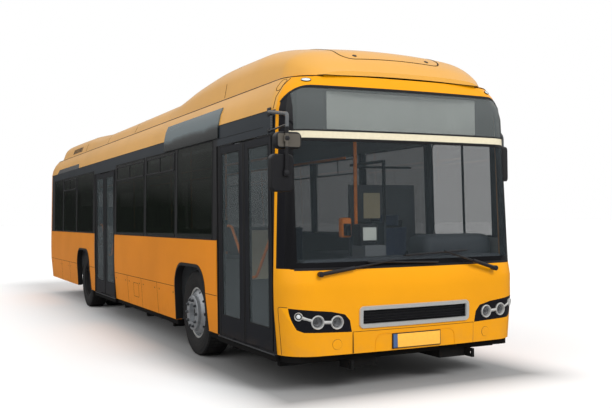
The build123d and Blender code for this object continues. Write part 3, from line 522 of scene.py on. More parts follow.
# %% Paint the solids
NODE_FINISHES = {
    orange_body: ["skirts", "waist_panels", "rear_panel", "engine_hatch"],
    roof_orange_painted_sky_sheen: ["cove_panels", "roof_panel", "fairing_front", "fairing_rear", "roof_lid"],
    front_orange_painted_sunlight: ["front_panel", "front_bumper", "front_cap"],
    slate_paint: ["cant_rails"],
    black_plastic: ["window_posts", "wipers", "steering_wheel", "grille"],
    side_pane: ["side_sign"],
    lamp_housing: ["headlamps"],
    side_glass: ["saloon_windows"],
    screen_glass: ["windscreen"],
    sign_glass: ["destination_glass"],
    cream_plastic: ["sign_strip"],
    tail_lens: ["tail_lamps"],
    mirror_paint: ["mirrors"],
    underframe: ["chassis_frame", "front_axle", "rear_axle", "engine", "knuckle_kerb", "knuckle_road"],
    floor_cover: ["floor", "rear_platform"],
    dash_grey: ["dashboard"],
    grey_plastic: ["partition", "ticket_machine", "wheel_boxes"],
    seat_fabric: ["driver_seat", "passenger_seats"],
    orange_pole: ["handrails"],
    tyre_rubber: ["front_tyre_kerb", "front_tyre_road", "rear_tyres_kerb", "rear_tyres_road"],
    wheel_silver: ["front_rim_kerb", "front_rim_road"],
    dark_rim: ["rear_rims_kerb", "rear_rims_road"],
}
# The name of each door, how far its two jambs are behind the front face, and the height of its top.
DOORWAYS = [("front", 0.320, 1.745, 2.280), ("middle", 6.210, 7.630, 2.300)]
DOORS = [f"{door}_{place}" for door, _, _, _ in DOORWAYS for place in "ab"]
NODE_FINISHES[door_paint] = [f"door_leaf_{door}" for door in DOORS]
NODE_FINISHES[black_plastic] += [f"door_post_{door}" for door in DOORS]
NODE_FINISHES[door_pane] = [f"door_glass_{door}" for door in DOORS]
for material, names in NODE_FINISHES.items():
    for name in names:
        solid = nodes[name].data
        solid.materials.clear()
        solid.materials.append(material)
        solid.polygons.foreach_set("use_smooth", [True] * len(solid.polygons))
        solid.set_sharp_from_angle(angle=sharp_angle)
dressed = {name for names in NODE_FINISHES.values() for name in names}
print("solids with no finish:", sorted(set(nodes) - dressed))

# %% [markdown]
# ## Ways to make a piece
# A piece is a mesh with a material that rides on one of the bodies. Boxes, turned shapes and pipes cover
# most of the fittings. A box is six numbers: two of x, two distances behind the front face, two heights.


# %% Boxes
def add_piece(name, data, material, body):
    """Put a mesh or a curve in the scene as a piece of that body."""
    data.materials.append(material)
    piece = bpy.data.objects.new(name, data)
    scene.collection.objects.link(piece)
    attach(piece, body)
    return piece


def keep(name, mesh, material, body):
    """A mesh as a piece, smooth except where its faces meet at more than 35 degrees."""
    mesh.polygons.foreach_set("use_smooth", [True] * len(mesh.polygons))
    mesh.set_sharp_from_angle(angle=math.radians(35.0))
    return add_piece(name, mesh, material, body)


def form_piece(name, form, material, body):
    """Turn a form into a piece, with its faces pointing outwards."""
    bmesh.ops.recalc_face_normals(form, faces=form.faces)
    mesh = bpy.data.meshes.new(name)
    form.to_mesh(mesh)
    form.free()
    return keep(name, mesh, material, body)


def spans(box):
    """The six numbers of a box as a low and a high value on each axis."""
    x0, x1, near, far, z0, z1 = box
    return sorted((x0, x1)), sorted((behind(near), behind(far))), sorted((z0, z1))


def boxes(name, places, material, body="body", edge=0.004):
    """Boxes with rounded edges, all in one piece."""
    form = bmesh.new()
    for box in places:
        made = bmesh.ops.create_cube(form, size=1.0)["verts"]
        for corner in made:
            corner.co = Vector([low + (high - low) * (part + 0.5)
                                for part, (low, high) in zip(corner.co, spans(box))])
        edges = list(dict.fromkeys(e for corner in made for e in corner.link_edges))
        bmesh.ops.bevel(form, geom=edges, offset=edge, segments=3, profile=0.5, affect="EDGES")
    return form_piece(name, form, material, body)


# %% [markdown]
# Turned shapes are outlines spun round an axis: lamps, nuts, caps and fasteners.


# %% Turned shapes
def add_turned(form, centre, axis, profile, steps=32):
    """A solid of revolution whose profile lists (distance along the axis, radius)."""
    turn = Vector(axis).to_track_quat("Z", "Y")
    rings = []
    for along, radius in profile:
        if radius == 0.0:
            rings.append([form.verts.new(Vector(centre) + turn @ Vector((0, 0, along)))])
            continue
        rings.append([form.verts.new(Vector(centre) + turn @ Vector((
            radius * math.cos(2 * math.pi * k / steps), radius * math.sin(2 * math.pi * k / steps), along)))
            for k in range(steps)])
    for low, high in zip(rings, rings[1:]):
        for k in range(steps):
            after = (k + 1) % steps
            corners = [low[k % len(low)], low[after % len(low)], high[after % len(high)], high[k % len(high)]]
            form.faces.new(dict.fromkeys(corners))


def turned(name, centres, axis, profile, material, body="body", steps=32):
    """The same turned solid at each centre, all in one piece."""
    form = bmesh.new()
    for centre in centres:
        add_turned(form, centre, axis, profile, steps)
    return form_piece(name, form, material, body)


# %% [markdown]
# Pipes are bars along a route, and slabs are flat plates of any outline.


# %% Pipes and slabs
def pipe(name, points, radius, material, body="body", bend=0.0):
    """A round bar along the points, each inner corner cut to a curve of about that bend."""
    route = [Vector(p) for p in points]
    if bend:
        soft = [route[0]]
        for before, corner, after in zip(route, route[1:], route[2:]):
            start = corner + (before - corner).normalized() * bend
            end = corner + (after - corner).normalized() * bend
            soft += [start.lerp(corner, t).lerp(corner.lerp(end, t), t) for t in (0, 0.2, 0.4, 0.6, 0.8, 1)]
        route = soft + [route[-1]]
    curve = bpy.data.curves.new(name, "CURVE")
    curve.dimensions = "3D"
    curve.bevel_depth = radius
    curve.bevel_resolution = 4
    curve.use_fill_caps = True
    spline = curve.splines.new("POLY")
    spline.points.add(len(route) - 1)
    for point, place in zip(spline.points, route):
        point.co = (*place, 1.0)
    return add_piece(name, curve, material, body)


def extruded(form, faces):
    """The new corners made by drawing the faces out. They start where the old corners are."""
    made = bmesh.ops.extrude_face_region(form, geom=faces)["geom"]
    return [item for item in made if isinstance(item, bmesh.types.BMVert)]


def slab(name, outline, corner, u_axis, v_axis, depth, material):
    """A flat plate: a 2-D outline in its own plane, with a thickness away from the plane."""
    form = bmesh.new()
    u_way, v_way = Vector(u_axis).normalized(), Vector(v_axis).normalized()
    face = form.faces.new([form.verts.new(Vector(corner) + u_way * u + v_way * v) for u, v in outline])
    face.normal_update()
    for vertex in extruded(form, [face]):
        vertex.co += u_way.cross(v_way) * depth
    return form_piece(name, form, material, "body")


# %% [markdown]
# ## Roof covers
# The long covers on the roof are one soft form: each upright section has a wall, a rounded shoulder and an
# arched top, and every size runs smoothly from section to section. The front cover is a shell with an
# opening, where the service lid sits on a ledge.

# %% Cover sections
roof_seam = 2.794
roof_half = 1.112
# Behind the front, foot and shoulder in from the edge of the roof, height of the shoulder, height of the crown.
COVER_SECTIONS = [
    (0.150, 0.272, 0.372, 2.835, 2.850), (0.300, 0.127, 0.207, 2.930, 2.995),
    (0.550, 0.027, 0.107, 3.050, 3.125), (1.200, 0.004, 0.070, 3.140, 3.240),
    (2.100, 0.004, 0.070, 3.145, 3.272), (3.000, 0.004, 0.080, 3.095, 3.222),
    (3.900, 0.004, 0.095, 2.998, 3.110), (7.700, 0.004, 0.100, 2.990, 3.100),
    (9.200, 0.004, 0.098, 3.058, 3.150), (11.300, 0.004, 0.098, 3.078, 3.170),
    (11.900, 0.072, 0.165, 2.900, 2.955),
]


def smooth_run(places, values):
    """A curve through the values that never overshoots them."""
    slopes = [(v1 - v0) / (p1 - p0) for p0, p1, v0, v1 in zip(places, places[1:], values, values[1:])]
    tangents = [slopes[0]] + [2 * a * b / (a + b) if a * b > 0 else 0.0 for a, b in zip(slopes, slopes[1:])]
    tangents.append(slopes[-1])

    def at(place):
        k = max(0, min(len(slopes) - 1, sum(place > p for p in places) - 1))
        span = places[k + 1] - places[k]
        t = (place - places[k]) / span
        return ((1 + 2 * t) * (1 - t) ** 2 * values[k] + t * (1 - t) ** 2 * span * tangents[k]
                + t * t * (3 - 2 * t) * values[k + 1] - t * t * (1 - t) * span * tangents[k + 1])
    return at


cover_places, *cover_columns = zip(*COVER_SECTIONS)
cover_sizes = [smooth_run(cover_places, column) for column in cover_columns]


def cover_profile(distance, inset):
    """The section at this distance behind the front, from the kerb side foot to the road side foot."""
    foot, shoulder, shoulder_z, crown = [size(distance) for size in cover_sizes]
    foot_x, edge_x = roof_half - foot - inset, roof_half - shoulder - inset
    edge_z, crown = shoulder_z - inset, crown - inset
    wall = Vector((foot_x, roof_seam))
    corner = Vector((edge_x, edge_z))
    low = wall.lerp(corner, 0.45)
    high_x = edge_x - 0.30
    high = Vector((high_x, crown - (crown - edge_z) * (high_x / edge_x) ** 2))
    half = [wall, wall.lerp(low, 0.5)]
    for k in range(13):
        t = k / 12
        half.append(low * (1 - t) ** 2 + corner * 2 * t * (1 - t) + high * t * t)
    for k in range(1, 9):
        x = high_x * (1 - k / 8)
        half.append(Vector((x, crown - (crown - edge_z) * (x / edge_x) ** 2)))
    return [(-point.x, point.y) for point in half] + [(point.x, point.y) for point in reversed(half[:-1])]


# %% [markdown]
# A cover is a row of these sections. The lid is cut out of the same form by an upright block, and grown and
# shrunk copies of that block leave the gap round the lid and the ledge under it.


# %% Cover and lid forms
def cover_form(first, last, outside=0.0, inside=None):
    """A closed length of cover: solid down to the roof, or a shell when an inside is given."""
    form = bmesh.new()
    steps = max(2, math.ceil((last - first) / 0.045))
    rings = []
    for k in range(steps + 1):
        distance = first + (last - first) * k / steps
        outline = cover_profile(distance, outside)
        if inside is not None:
            outline += reversed(cover_profile(distance, inside))
        rings.append([form.verts.new((x, behind(distance), z)) for x, z in outline])
    for near, far in zip(rings, rings[1:]):
        for k in range(len(near)):
            form.faces.new((near[k], near[k - 1], far[k - 1], far[k]))
    form.faces.new(rings[0])
    form.faces.new(reversed(rings[-1]))
    return form


def front_bends(half, radius, front, steps):
    """The two round front corners of the lid, from the kerb side to the road side."""
    turns = [math.radians(90 * k / steps) for k in range(steps + 1)]
    kerb, road = [[(way * (half - radius + radius * math.cos(a)), front + radius - radius * math.sin(a))
                   for a in turns] for _, way in SIDES]
    return kerb + road[::-1]


def lid_prism(grow, hinge_room=0.0):
    """An upright block in the outline of the service lid, grown on every side."""
    half, rear = 0.55 + grow, 1.15 + grow + hinge_room
    outline = [(half, rear), (-half, rear)] + front_bends(half, 0.12 + grow, 0.32 - grow, 8)
    form = bmesh.new()
    base = form.faces.new([form.verts.new((x, behind(y), 2.70)) for x, y in outline])
    bmesh.ops.translate(form, verts=extruded(form, [base]), vec=(0, 0, 0.70))
    return form


def carved(form, *cuts):
    """The mesh left after each (way, form) of the cuts: DIFFERENCE, INTERSECT or UNION."""
    made = []
    for part in (form, *[cut_form for _, cut_form in cuts]):
        bmesh.ops.recalc_face_normals(part, faces=part.faces)
        mesh = bpy.data.meshes.new("carving")
        part.to_mesh(mesh)
        part.free()
        made.append(bpy.data.objects.new("carving", mesh))
        scene.collection.objects.link(made[-1])
    for (way, _), tool in zip(cuts, made[1:]):
        carve = made[0].modifiers.new(way, "BOOLEAN")
        carve.operation, carve.object, carve.solver = way, tool, "EXACT"
    bpy.context.view_layer.update()
    mesh = bpy.data.meshes.new_from_object(made[0].evaluated_get(bpy.context.evaluated_depsgraph_get()))
    for part in made:
        bpy.data.objects.remove(part)
    return mesh


# %% Covers and lid
skin_of = dict(nodes)
skin_of["fairing_front"] = keep("front_cover", carved(
    cover_form(0.15, 3.90, 0.0, 0.04), ("DIFFERENCE", lid_prism(0.005, 0.020))), roof_orange_painted_sky_sheen, "body")
skin_of["fairing_rear"] = form_piece("rear_cover", cover_form(3.905, 11.90), roof_orange_painted_sky_sheen, "body")
skin_of["roof_lid"] = keep("service_lid", carved(
    cover_form(0.20, 1.30, 0.0, 0.0395), ("INTERSECT", lid_prism(0.0))), roof_orange_painted_sky_sheen, "roof_lid")
keep("lid_ledge", carved(cover_form(0.20, 1.30, 0.04, 0.06), ("INTERSECT", lid_prism(0.04)),
                         ("DIFFERENCE", lid_prism(-0.03))), roof_orange_painted_sky_sheen, "body")
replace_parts(skin_of["fairing_front"], "fairing_front")
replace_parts(skin_of["fairing_rear"], "fairing_rear")
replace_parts(skin_of["roof_lid"], "roof_lid")
print("covers:", [len(skin_of[name].data.polygons) for name in ("fairing_front", "fairing_rear", "roof_lid")])

# %% [markdown]
# ## Laying things on the body
# Seams, gaskets and badges follow the curved skin. Each side of the body gets a ray caster: it takes two
# flat coordinates, shoots at the solids and returns the point and the direction that the skin faces.


# %% Ray casters
class Side:
    """One side of the body, on which a place is two coordinates seen square on."""

    def __init__(self, names, towards, start, reach):
        vertices = []
        faces = []
        for name in names:
            first = len(vertices)
            node = skin_of[name]
            vertices += [node.matrix_world @ corner.co for corner in node.data.vertices]
            faces += [[first + k for k in face.vertices] for face in node.data.polygons]
        self.tree = BVHTree.FromPolygons(vertices, faces)
        self.towards = Vector(towards)
        self.start = start
        self.reach = reach
        self.last = (reach - 0.6, -self.towards)

    def at(self, u, v):
        """The point on the skin and its outward normal. Over a gap the last depth found is kept."""
        origin = self.start(u, v)
        point, normal, _, depth = self.tree.ray_cast(origin, self.towards, self.reach)
        if point is None:
            depth, normal = self.last
            return origin + self.towards * depth, normal
        if normal.dot(self.towards) > 0:
            normal = -normal
        self.last = (depth, normal)
        return point, normal


WALLS = ["skirts", "waist_panels", "window_posts", "saloon_windows", "cant_rails", "cove_panels", "front_cap",
         "front_panel", "front_bumper", "headlamps", "rear_panel", "windscreen", "destination_glass",
         "sign_strip", "engine_hatch", "grille"]
COVERS = ["fairing_front", "fairing_rear", "roof_lid"]


def both_sides(names):
    """The kerb side and the road side of those nodes."""
    return {side: Side(names, (-way, 0, 0), lambda y, z, x=way * 3.0: Vector((x, behind(y), z)), 2.4)
            for side, way in SIDES}


front_side = Side(WALLS + ["fairing_front"], (0, 1, 0), lambda x, z: Vector((x, behind(-1.0), z)), 1.6)
side_of = both_sides(WALLS)
kerb_side, road_side = side_of["kerb"], side_of["road"]
rear_side = Side(WALLS, (0, -1, 0), lambda x, z: Vector((x, rear_y + 1.0, z)), 1.6)
roof_side = Side(COVERS + ["roof_panel", "cove_panels"], (0, 0, -1),
                 lambda x, y: Vector((x, behind(y), 5.0)), 2.6)
print("sides ready for seams:", len(WALLS), "walls and", len(COVERS), "covers")

# %% [markdown]
# A ribbon is a strip along a route: at each step the ray caster gives a point and a normal, and the strip's
# section stands square to both.


# %% Ribbons
# How far the back of a strip or a plate goes into the skin, so that no light gets under it.
sunk = 0.004


def ribbon(name, side, route, width, material, proud=0.0012, closed=False, step=0.06):
    """A strip with a flat back that follows the skin along the route."""
    ends = route + route[:1] if closed else route
    flat = []
    for (u0, v0), (u1, v1) in zip(ends, ends[1:]):
        parts = max(1, math.ceil(math.hypot(u1 - u0, v1 - v0) / step))
        flat += [(u0 + (u1 - u0) * k / parts, v0 + (v1 - v0) * k / parts) for k in range(parts)]
    if not closed:
        flat.append(ends[-1])
    places = [side.at(u, v) for u, v in flat]
    form = bmesh.new()
    rows = []
    count = len(places)
    for k, (point, normal) in enumerate(places):
        ahead = places[(k + 1) % count if closed else min(k + 1, count - 1)][0]
        astern = places[(k - 1) % count if closed else max(k - 1, 0)][0]
        across = normal.cross((ahead - astern).normalized()).normalized() * width / 2
        top = normal * proud
        edge = across * max(0.0, 1 - 0.5 * proud / width)
        corners = (point - across - normal * sunk, point - across + top * 0.5, point - edge + top,
                   point + edge + top, point + across + top * 0.5, point + across - normal * sunk)
        rows.append([form.verts.new(corner) for corner in corners])
    pairs = list(zip(rows, rows[1:])) + ([(rows[-1], rows[0])] if closed else [])
    for low, high in pairs:
        for k in range(6):
            form.faces.new((low[k], low[(k + 1) % 6], high[(k + 1) % 6], high[k]))
    if not closed:
        form.faces.new(rows[0])
        form.faces.new(rows[-1])
    return form_piece(name, form, material, "body")


def seam(name, side, route, width=0.006, **more):
    """A fine dark line where two panels meet."""
    return ribbon(name, side, route, width, seam_dark, **more)


# %% [markdown]
# A patch is a flat outline cut into cells and dropped on the skin. Outlines are made of arcs.


# %% Patches and outlines
def patch(name, side, outline, material, proud=0.002, cell=0.08):
    """A thin plate of that outline laid on the skin."""
    form = bmesh.new()
    form.faces.new([form.verts.new((u, v, 0.0)) for u, v in outline])
    for axis in (0, 1):
        values = [corner[axis] for corner in outline]
        cuts = int((max(values) - min(values)) / cell)
        for k in range(1, cuts + 1):
            way = Vector((1 - axis, axis, 0))
            place = way * (min(values) + k * (max(values) - min(values)) / (cuts + 1))
            bmesh.ops.bisect_plane(form, geom=form.verts[:] + form.edges[:] + form.faces[:],
                                   plane_co=place, plane_no=way)
    bmesh.ops.recalc_face_normals(form, faces=form.faces)
    skin = {corner: side.at(corner.co.x, corner.co.y) for corner in form.verts}
    for corner, (point, normal) in skin.items():
        corner.co = point + normal * proud
    for corner in extruded(form, form.faces[:]):
        corner.co += side.towards * (proud + sunk)
    return form_piece(name, form, material, "body")


def arc(centre, radius, start, end, steps=8, squash=1.0):
    """Points of a round arc between two angles in degrees."""
    angles = [math.radians(start + (end - start) * k / steps) for k in range(steps + 1)]
    return [(centre[0] + radius * math.cos(a), centre[1] + radius * squash * math.sin(a)) for a in angles]


def level(start, end, height, steps):
    """Points along a level line, close enough together to follow a curved skin."""
    return [(start + (end - start) * k / steps, height) for k in range(steps + 1)]


def rounded(u, v, radius, steps=6):
    """A rectangle between two values of u and v with round corners."""
    left, right = sorted(u)
    low, high = sorted(v)
    return (arc((right - radius, low + radius), radius, -90, 0, steps)
            + arc((right - radius, high - radius), radius, 0, 90, steps)
            + arc((left + radius, high - radius), radius, 90, 180, steps)
            + arc((left + radius, low + radius), radius, 180, 270, steps))


# %% [markdown]
# ## Headlamps
# Each black unit has three round pockets. A bright ring stands round every pocket with a domed lens in
# it, and flat bright links join the rings.

# %% Headlamps
# Each pocket: how far in from the side of the body, its height and its radius. The first one is the turn lamp.
HEADLAMPS = [(0.135, 0.690, 0.038), (0.290, 0.637, 0.062), (0.470, 0.628, 0.062)]
# The outlines are distances along the lamp's axis and shares of the pocket's radius.
ring_outline = [(-0.012, 0.94), (0.010, 0.98), (0.015, 0.90), (0.013, 0.80), (-0.004, 0.70), (-0.012, 0.70),
                (-0.012, 0.94)]
lens_outline = [(-0.010, 0.72), (0.000, 0.60), (0.006, 0.35), (0.008, 0.0)]
bowl_outline = [(-0.026, 0.0), (-0.024, 0.30), (-0.014, 0.60), (-0.006, 0.74)]
link_radius = 0.015
for side_name, way in SIDES:
    centres = []
    for index, (inboard, z, radius) in enumerate(HEADLAMPS):
        x = way * (half_width - inboard)
        reach = radius * 1.15
        west, east, foot, head = [front_side.at(x + u, z + v)[0]
                                  for u, v in ((-reach, 0), (reach, 0), (0, -reach), (0, reach))]
        centre = (west + east + foot + head) / 4
        facing = (east - west).cross(head - foot)
        bowl_finish, lens_finish = (dark_chrome, lamp_glass) if index else (amber_lens, clear_lens)
        for part, outline, material in (("ring", ring_outline, silver), ("bowl", bowl_outline, bowl_finish),
                                        ("lens", lens_outline, lens_finish)):
            turned(f"lamp_{part}_{side_name}_{index}", [centre], facing,
                   [(along, share * radius) for along, share in outline], material)
        centres.append(centre + facing.normalized() * 0.004)
    for index, (start, end) in enumerate(zip(centres, centres[1:])):
        along = (end - start).normalized()
        near, far = HEADLAMPS[index][2], HEADLAMPS[index + 1][2]
        pipe(f"lamp_link_{side_name}_{index}", [start + along * near * 0.90, end - along * far * 0.90],
             link_radius, silver)

# %% [markdown]
# ## Grille, number plate and bumper
# The grille's bezel is a rounded bright strip. The plate is blank: a yellow field with a blue band. Fine
# dark seams show where the bumper corners bolt on.

# %% Front trim
ribbon("grille_bezel", front_side, rounded((-0.572, 0.572), (0.579, 0.735), 0.024), 0.038, silver,
       proud=0.014, closed=True)
boxes("grille_back", [(-0.56, 0.56, 0.054, 0.060, 0.590, 0.724)], black_plastic)
bars = [0.600 + 0.0135 * k for k in range(9)]
boxes("grille_bars", [(-0.555, 0.555, 0.026, 0.030, z, z + 0.004) for z in bars], black_gloss, edge=0.001)
plate_half = 0.252
band_x = -0.208
plate_low = 0.368
plate_high = 0.488
holder_rim = 0.008
boxes("plate_holder", [(-plate_half - holder_rim, plate_half + holder_rim, 0.002, 0.030,
                        plate_low - holder_rim, plate_high + holder_rim)], black_plastic)
boxes("plate", [(band_x, plate_half, -0.001, 0.004, plate_low, plate_high)], plate_yellow, edge=0.002)
boxes("plate_band", [(-plate_half, band_x, -0.001, 0.004, plate_low, plate_high)], plate_blue, edge=0.002)
recess = [(-0.43, 0.352), (-0.425, 0.43)] + arc((-0.355, 0.43), 0.07, 180, 90) \
    + arc((0.355, 0.43), 0.07, 90, 0) + [(0.425, 0.43), (0.43, 0.352)]
ribbon("plate_recess", front_side, recess, 0.007, front_orange_painted_sunlight, proud=0.004)

# %% Bumper seams
joint_x = 0.650
bumper_top = 0.535
for side_name, way in SIDES:
    seam(f"bumper_joint_{side_name}", front_side, [(way * joint_x, 0.350), (way * joint_x, bumper_top)])
    cover = arc((way * 0.80, 0.436), 0.044, 0, 360, 28)[:-1]
    patch(f"bumper_cover_{side_name}", front_side, cover, front_orange_painted_sunlight, proud=0.003)
    seam(f"bumper_cover_edge_{side_name}", front_side, cover, 0.004, proud=0.001, closed=True, step=0.02)
seam("bumper_seam", front_side, [(-joint_x, bumper_top), (joint_x, bumper_top)], 0.004)
corner_seam_y = 0.258
for side_name, side in side_of.items():
    seam(f"corner_seam_{side_name}", side, [(corner_seam_y, 0.350), (corner_seam_y, 0.745)]
         + arc((corner_seam_y - 0.02, 0.745), 0.02, 0, 90, 4) + [(0.165, 0.765)], 0.005, step=0.02)

# %% [markdown]
# ## Windscreen, marker lamps and wipers
# A rubber seal runs round the front glass, and two small oval lamps sit in the roof's brow. The wipers get
# their blades, and their pivots get caps.

# %% Glass seal and brow
seal_low = 1.090
seal_high = 2.686
seal_side_x = 1.16
seal_bend = seal_high - corner_radius
ribbon("seal_low", front_side, [(seal_side_x * k / 6, seal_low) for k in range(-6, 7)], 0.022, rubber,
       proud=0.004)
ribbon("seal_high", front_side, arc((-corner_x, seal_bend), corner_radius, 152, 90, 12)
       + level(-corner_x * 5 / 6, corner_x * 5 / 6, seal_high, 10)
       + arc((corner_x, seal_bend), corner_radius, 90, 28, 12), 0.018, rubber, proud=0.004)
for side_name, way in SIDES:
    lamp = arc((way * 0.99, 2.742), 0.036, 0, 360, 24, squash=0.40)[:-1]
    patch(f"marker_{side_name}", front_side, lamp, clear_lens, proud=0.008, cell=0.02)
    ribbon(f"marker_rim_{side_name}", front_side, lamp, 0.007, black_plastic, proud=0.009, closed=True,
           step=0.01)
for line, z, width in (("low", 2.222, 0.010), ("high", 2.290, 0.006)):
    ribbon(f"strip_line_{line}", front_side, level(-1.15, 1.15, z, 12), width, rubber, proud=0.002)

# %% Wipers
# For each arm: its pivot, its elbow and the two ends of its blade, as x and z on the front.
WIPERS = [
    ((-0.958, 1.047), (-0.234, 1.150), (-0.503, 1.141), (0.240, 1.116)),
    ((0.898, 1.036), (0.300, 1.216), (0.560, 1.216), (-0.130, 1.190)),
]
for index, (pivot, elbow, blade_a, blade_b) in enumerate(WIPERS):
    arm_lift = 0.034 + 0.022 * index
    surface = [front_side.at(*place) for place in (pivot, elbow, blade_a, blade_b)]
    cap = surface[0][0] + Vector((0, -arm_lift - 0.010, 0))
    turned(f"wiper_cap_{index}", [cap], (0, -1, 0),
           [(-0.03, 0.024), (0.004, 0.024), (0.010, 0.018), (0.012, 0.0)], black_plastic, steps=24)
    arm_start, arm_end = [surface[k][0] + Vector((0, -arm_lift, 0)) for k in (0, 1)]
    pipe(f"wiper_arm_cover_{index}", [arm_start, arm_start.lerp(arm_end, 0.45)], 0.018, black_plastic)
    rubber_a, rubber_b = [surface[k][0] + Vector((0, -arm_lift * 0.45, -0.004)) for k in (2, 3)]
    pipe(f"wiper_blade_{index}", [rubber_a, rubber_b], 0.006, rubber)
    for place in (0.12, 0.37, 0.63, 0.88):
        clip = rubber_a.lerp(rubber_b, place)
        deep = clip.y - front_y
        boxes(f"wiper_clip_{index}_{place}", [(clip.x - 0.010, clip.x + 0.010, deep - arm_lift * 0.6,
              deep + 0.003, clip.z - 0.005, clip.z + 0.008)], black_plastic, edge=0.002)

# %% [markdown]
# ## Along the sides
# Dark seams show where one skirt panel ends and the next begins, black rubber lips line the wheel arches
# and thin frames mark the sliding windows.

# %% Panel seams
skirt_top = 0.742
waist = 1.313
window_top = 2.360
band_top = 2.487
arch_half = 0.517
arch_foot = 0.555
arch_top = 1.015
arch_radius = 0.265
# Where each run of skirt panels starts and ends, with the joints inside it, behind the front face.
SKIRT_RUNS = {
    "kerb": [(1.745, 2.128, []), (3.162, 6.210, [3.95, 4.70, 5.45]), (7.630, 8.073, []),
             (9.107, 11.90, [9.90, 10.75])],
    "road": [(0.320, 2.128, [1.20]), (3.162, 8.073, [3.95, 4.75, 5.60, 6.45, 7.25]),
             (9.107, 11.90, [9.90, 10.75])],
}
panel_foot = 0.352
lock_z = 0.665
lock_inset = 0.10
shortest_locked = 0.6
for side_name, runs in SKIRT_RUNS.items():
    side = side_of[side_name]
    for index, (start, end, joints) in enumerate(runs):
        seam(f"skirt_seam_{side_name}_{index}", side,
             [(start + 0.004, skirt_top), (end - 0.004, skirt_top)], step=0.4)
        for joint in joints:
            seam(f"skirt_joint_{side_name}_{joint}", side, [(joint, panel_foot), (joint, skirt_top)], 0.005,
                 step=0.13)
    bays = [bay for start, end, joints in runs for bay in zip([start, *joints], [*joints, end])]
    for lock in [spot for a, b in bays if b - a > shortest_locked for spot in (a + lock_inset, b - lock_inset)]:
        point, normal = side.at(lock, lock_z)
        turned(f"lock_{side_name}_{lock:.2f}", [point], normal,
               [(-0.004, 0.011), (0.002, 0.011), (0.002, 0.0)], black_plastic, steps=16)
    seam(f"gutter_{side_name}", side, [(0.45, 2.782), (11.80, 2.782)], 0.010, proud=0.003, step=0.6)
    ribbon(f"band_line_{side_name}", side, [(0.45, band_top), (11.85, band_top)], 0.006, rubber, proud=0.002,
           step=0.6)
seam("service_flap", kerb_side, rounded((4.86, 5.12), (0.47, 0.66), 0.02, 4), 0.005, closed=True, step=0.05)


# %% Wheel arch lips
def arch_path(axle, inset):
    """The wheel arch's edge, moved in by the inset, from foot to foot."""
    half = arch_half - inset
    top = arch_top - inset
    bend = arch_radius - inset
    foot = arch_foot - inset
    return ([(axle - foot, 0.350), (axle - half, skirt_top)]
            + arc((axle - half + bend, top - bend), bend, 180, 90, 8)
            + arc((axle + half - bend, top - bend), bend, 90, 0, 8)
            + [(axle + half, skirt_top), (axle + foot, 0.350)])


def arch_lip(name, side, axle):
    """A rubber lip: it laps over the panel's edge and covers the thickness of the wall."""
    form = bmesh.new()
    over = [side.at(y, z) for y, z in arch_path(axle, -0.022)]
    inner = arch_path(axle, 0.012)
    rows = []
    for (point, normal), (y, z) in zip(over, inner):
        lip = side.start(y, z)
        lip.x = point.x
        rows.append([form.verts.new(place) for place in (
            point - normal * 0.003, point + normal * 0.005, lip + normal * 0.010, lip - normal * 0.075)])
    for low, high in zip(rows, rows[1:]):
        for k in range(3):
            form.faces.new((low[k], low[k + 1], high[k + 1], high[k]))
    return form_piece(name, form, rubber, "body")


for side_name, side in side_of.items():
    arch_lip(f"arch_lip_front_{side_name}", side, front_axle)
    arch_lip(f"arch_lip_rear_{side_name}", side, rear_axle)

# %% Window details
# Where each pane starts and ends, behind the front face.
WINDOW_BAYS = {
    "kerb": [(1.865, 3.095), (3.165, 4.455), (4.525, 6.115), (7.750, 9.155), (9.225, 10.520), (10.590, 11.560)],
    "road": [(0.420, 1.515), (1.585, 3.000), (3.070, 4.420), (4.490, 5.840), (5.910, 7.260), (7.330, 8.680),
             (8.750, 10.100), (10.170, 11.560)],
}
hopper_low = 2.120
hopper_high = window_top - 0.045
# The numbers of the windows whose upper part slides open.
OPENERS = {"kerb": [1, 2, 4], "road": [2, 3, 5, 6]}
for side_name, bays in WINDOW_BAYS.items():
    side = side_of[side_name]
    for index, (start, end) in enumerate(bays):
        pane = rounded((start + 0.010, end - 0.010), (waist + 0.012, window_top - 0.010), 0.05, 5)
        ribbon(f"pane_seal_{side_name}_{index}", side, pane, 0.016, rubber, proud=0.003, closed=True, step=0.3)
        if index in OPENERS[side_name]:
            middle = (start + end) / 2
            hopper = rounded((start + 0.045, end - 0.045), (hopper_low, hopper_high), 0.03, 4)
            ribbon(f"hopper_{side_name}_{index}", side, hopper, 0.020, black_plastic, proud=0.007, closed=True,
                   step=0.3)
            ribbon(f"hopper_bar_{side_name}_{index}", side, [(middle, hopper_low), (middle, hopper_high)],
                   0.016, black_plastic, proud=0.006)
for line, side, start, end in (("kerb_front", kerb_side, 1.750, 6.205), ("kerb_rear", kerb_side, 7.635, 11.89),
                               ("road", road_side, 0.33, 11.89)):
    ribbon(f"waist_line_{line}", side, [(start, waist + 0.002), (end, waist + 0.002)], 0.008, rubber,
           proud=0.003, step=0.5)
band_patch = [(9.02, band_top - 0.006), (11.30, band_top - 0.006), (11.10, 2.570), (9.10, 2.570)]
patch("rear_dark_panel_kerb", kerb_side, band_patch, black_gloss, proud=0.003, cell=0.3)

# %% [markdown]
# ## Doors
# Each leaf carries rubber on its edges, a grab rail and a small emergency box inside, and it takes them
# along when it folds. A bright strip covers the sill.

# %% Door fittings
leaf_out = -1.255
leaf_in = -1.220
leaf_low = 0.368
glass_low = 0.555
post_to_jamb = 0.032
leaf_to_post = 0.030
